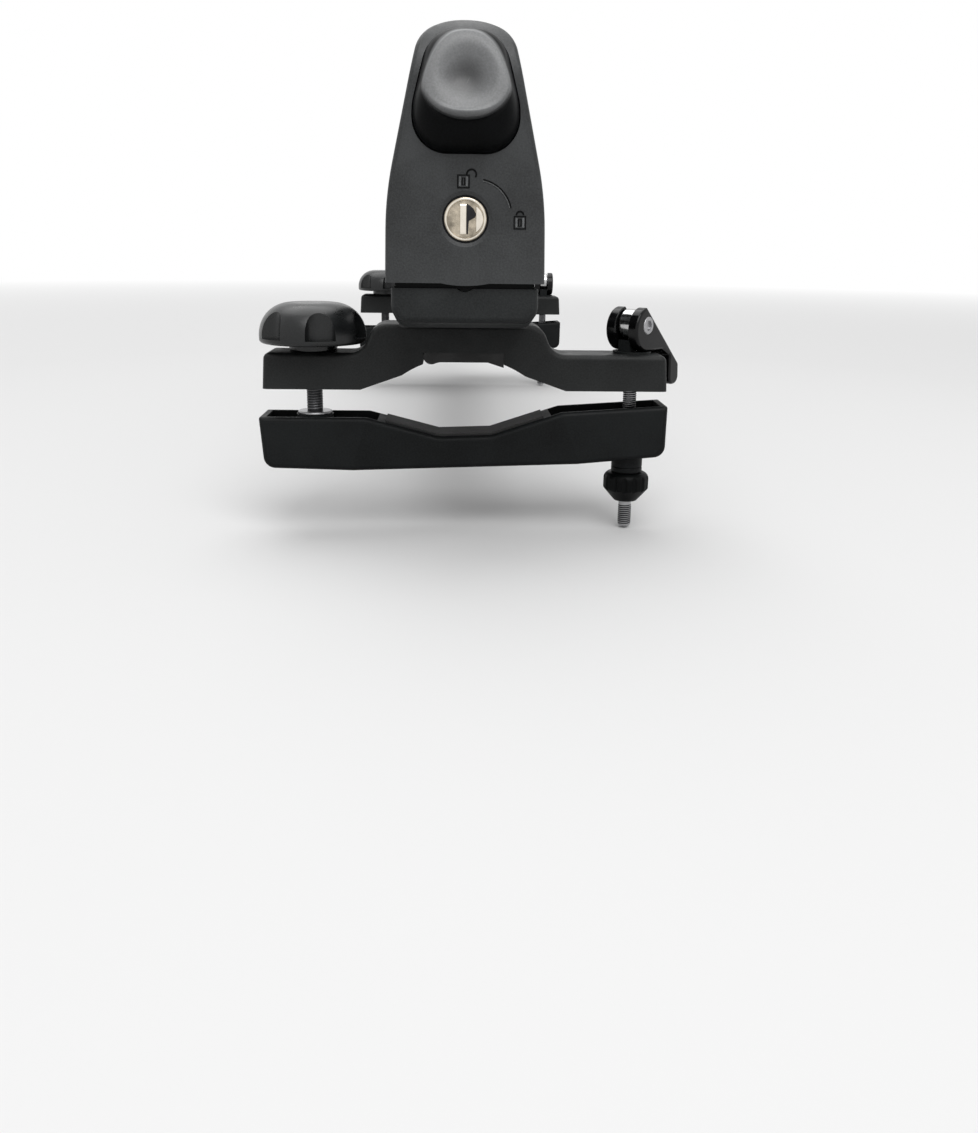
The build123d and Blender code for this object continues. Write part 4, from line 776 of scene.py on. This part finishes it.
def add_spring(materials):
    """The hook's return spring, a rigid copy of the CAD coil riding on the upper jaw; on the real
    carrier the hook's tail presses it together as it tips.
    """
    coil = nodes["hook_spring"].data.copy()
    coil.name = "return_spring"
    coil.materials.clear()
    spring = piece("return_spring", coil, "upper_jaw", "zinc_steel", materials)
    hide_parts("hook_spring")
    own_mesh(spring)


# Studio
def meets_background(tree):
    """1 for camera, glossy and transmission rays, which meet the bright surroundings, else 0."""
    path = new_node(tree, "LightPath").outputs
    seen = maths(tree, "MAXIMUM", path["Is Camera Ray"], path["Is Glossy Ray"])
    return maths(tree, "MAXIMUM", seen, path["Is Transmission Ray"])


def mixed(tree, factor, first, second):
    """The first shader where factor is 0, the second where it is 1."""
    return new_node(tree, "MixShader", {"Fac": factor, 1: first, 2: second}).outputs[0]


def overcast_world():
    """White background over a sky that lights the object from above, with dark ground below."""
    world = bpy.data.worlds.new("studio_sky")
    bpy.context.scene.world = world
    world.use_nodes = True
    tree = world.node_tree
    tree.nodes.clear()
    place = new_node(tree, "TexCoord").outputs["Generated"]
    height = new_node(tree, "SeparateXYZ", {0: place}).outputs["Z"]
    strength = mapped(tree, height, *SKY_STRENGTH, *SKY_HEIGHT)
    light = new_node(tree, "Background", {"Strength": strength}).outputs[0]
    shown = new_node(tree, "Background", {"Color": (1, 1, 1, 1)}).outputs[0]
    surface = mixed(tree, meets_background(tree), light, shown)
    new_node(tree, "OutputWorld", {"Surface": surface})


def softbox(name, place, size, radiance):
    """A round lamp aimed at the object, bright enough to look as bright as radiance."""
    data = bpy.data.lights.new(name, "AREA")
    data.shape = "DISK"
    data.size = size
    data.energy = radiance * pi * pi * (size / 2) ** 2
    lamp = bpy.data.objects.new(name, data)
    bpy.context.scene.collection.objects.link(lamp)
    lamp.location = place
    lamp.rotation_euler = (LAMP_TARGET - lamp.location).to_track_quat("-Z", "Y").to_euler()


def floor():
    """Pale floor that takes the shadow, fades to white far off, and throws little light back."""
    bm = bmesh.new()
    bmesh.ops.create_grid(bm, x_segments=1, y_segments=1, size=FLOOR_SIZE)
    mesh = bpy.data.meshes.new("floor")
    bm.to_mesh(mesh)
    bm.free()
    ground = bpy.data.objects.new("floor", mesh)
    bpy.context.scene.collection.objects.link(ground)
    ground.location = (0, 0, cad_box[0][2] - FLOOR_DROP)
    material = bpy.data.materials.new("pale_floor")
    material.use_nodes = True
    tree = material.node_tree
    pale = tree.nodes["Principled BSDF"]
    pale.inputs["Base Color"].default_value = FLOOR_SHOWN
    pale.inputs["Roughness"].default_value = FLOOR_ROUGH
    pale.inputs["Specular IOR Level"].default_value = FLOOR_GLOSS
    place = new_node(tree, "TexCoord").outputs["Object"]
    reach = new_node(tree, "VectorMath", {0: place}, operation="LENGTH").outputs["Value"]
    white = new_node(tree, "Emission").outputs[0]
    shown = mixed(tree, mapped(tree, reach, 0, 1, *FLOOR_FADE), pale.outputs[0], white)
    bounce = new_node(tree, "BsdfDiffuse", {"Color": FLOOR_BOUNCE}).outputs[0]
    surface = mixed(tree, meets_background(tree), bounce, shown)
    tree.links.new(surface, tree.nodes["Material Output"].inputs["Surface"])
    mesh.materials.append(material)


def studio():
    bpy.context.scene.view_settings.view_transform = "Standard"
    overcast_world()
    for lamp in SOFTBOXES:
        softbox(*lamp)
    floor()


place_camera()
finishes = make_materials()
dress(finishes)
add_threads(finishes)
add_button(finishes)
add_signs(finishes)
add_lock_face(finishes)
add_sill(finishes)
add_spring(finishes)
studio()
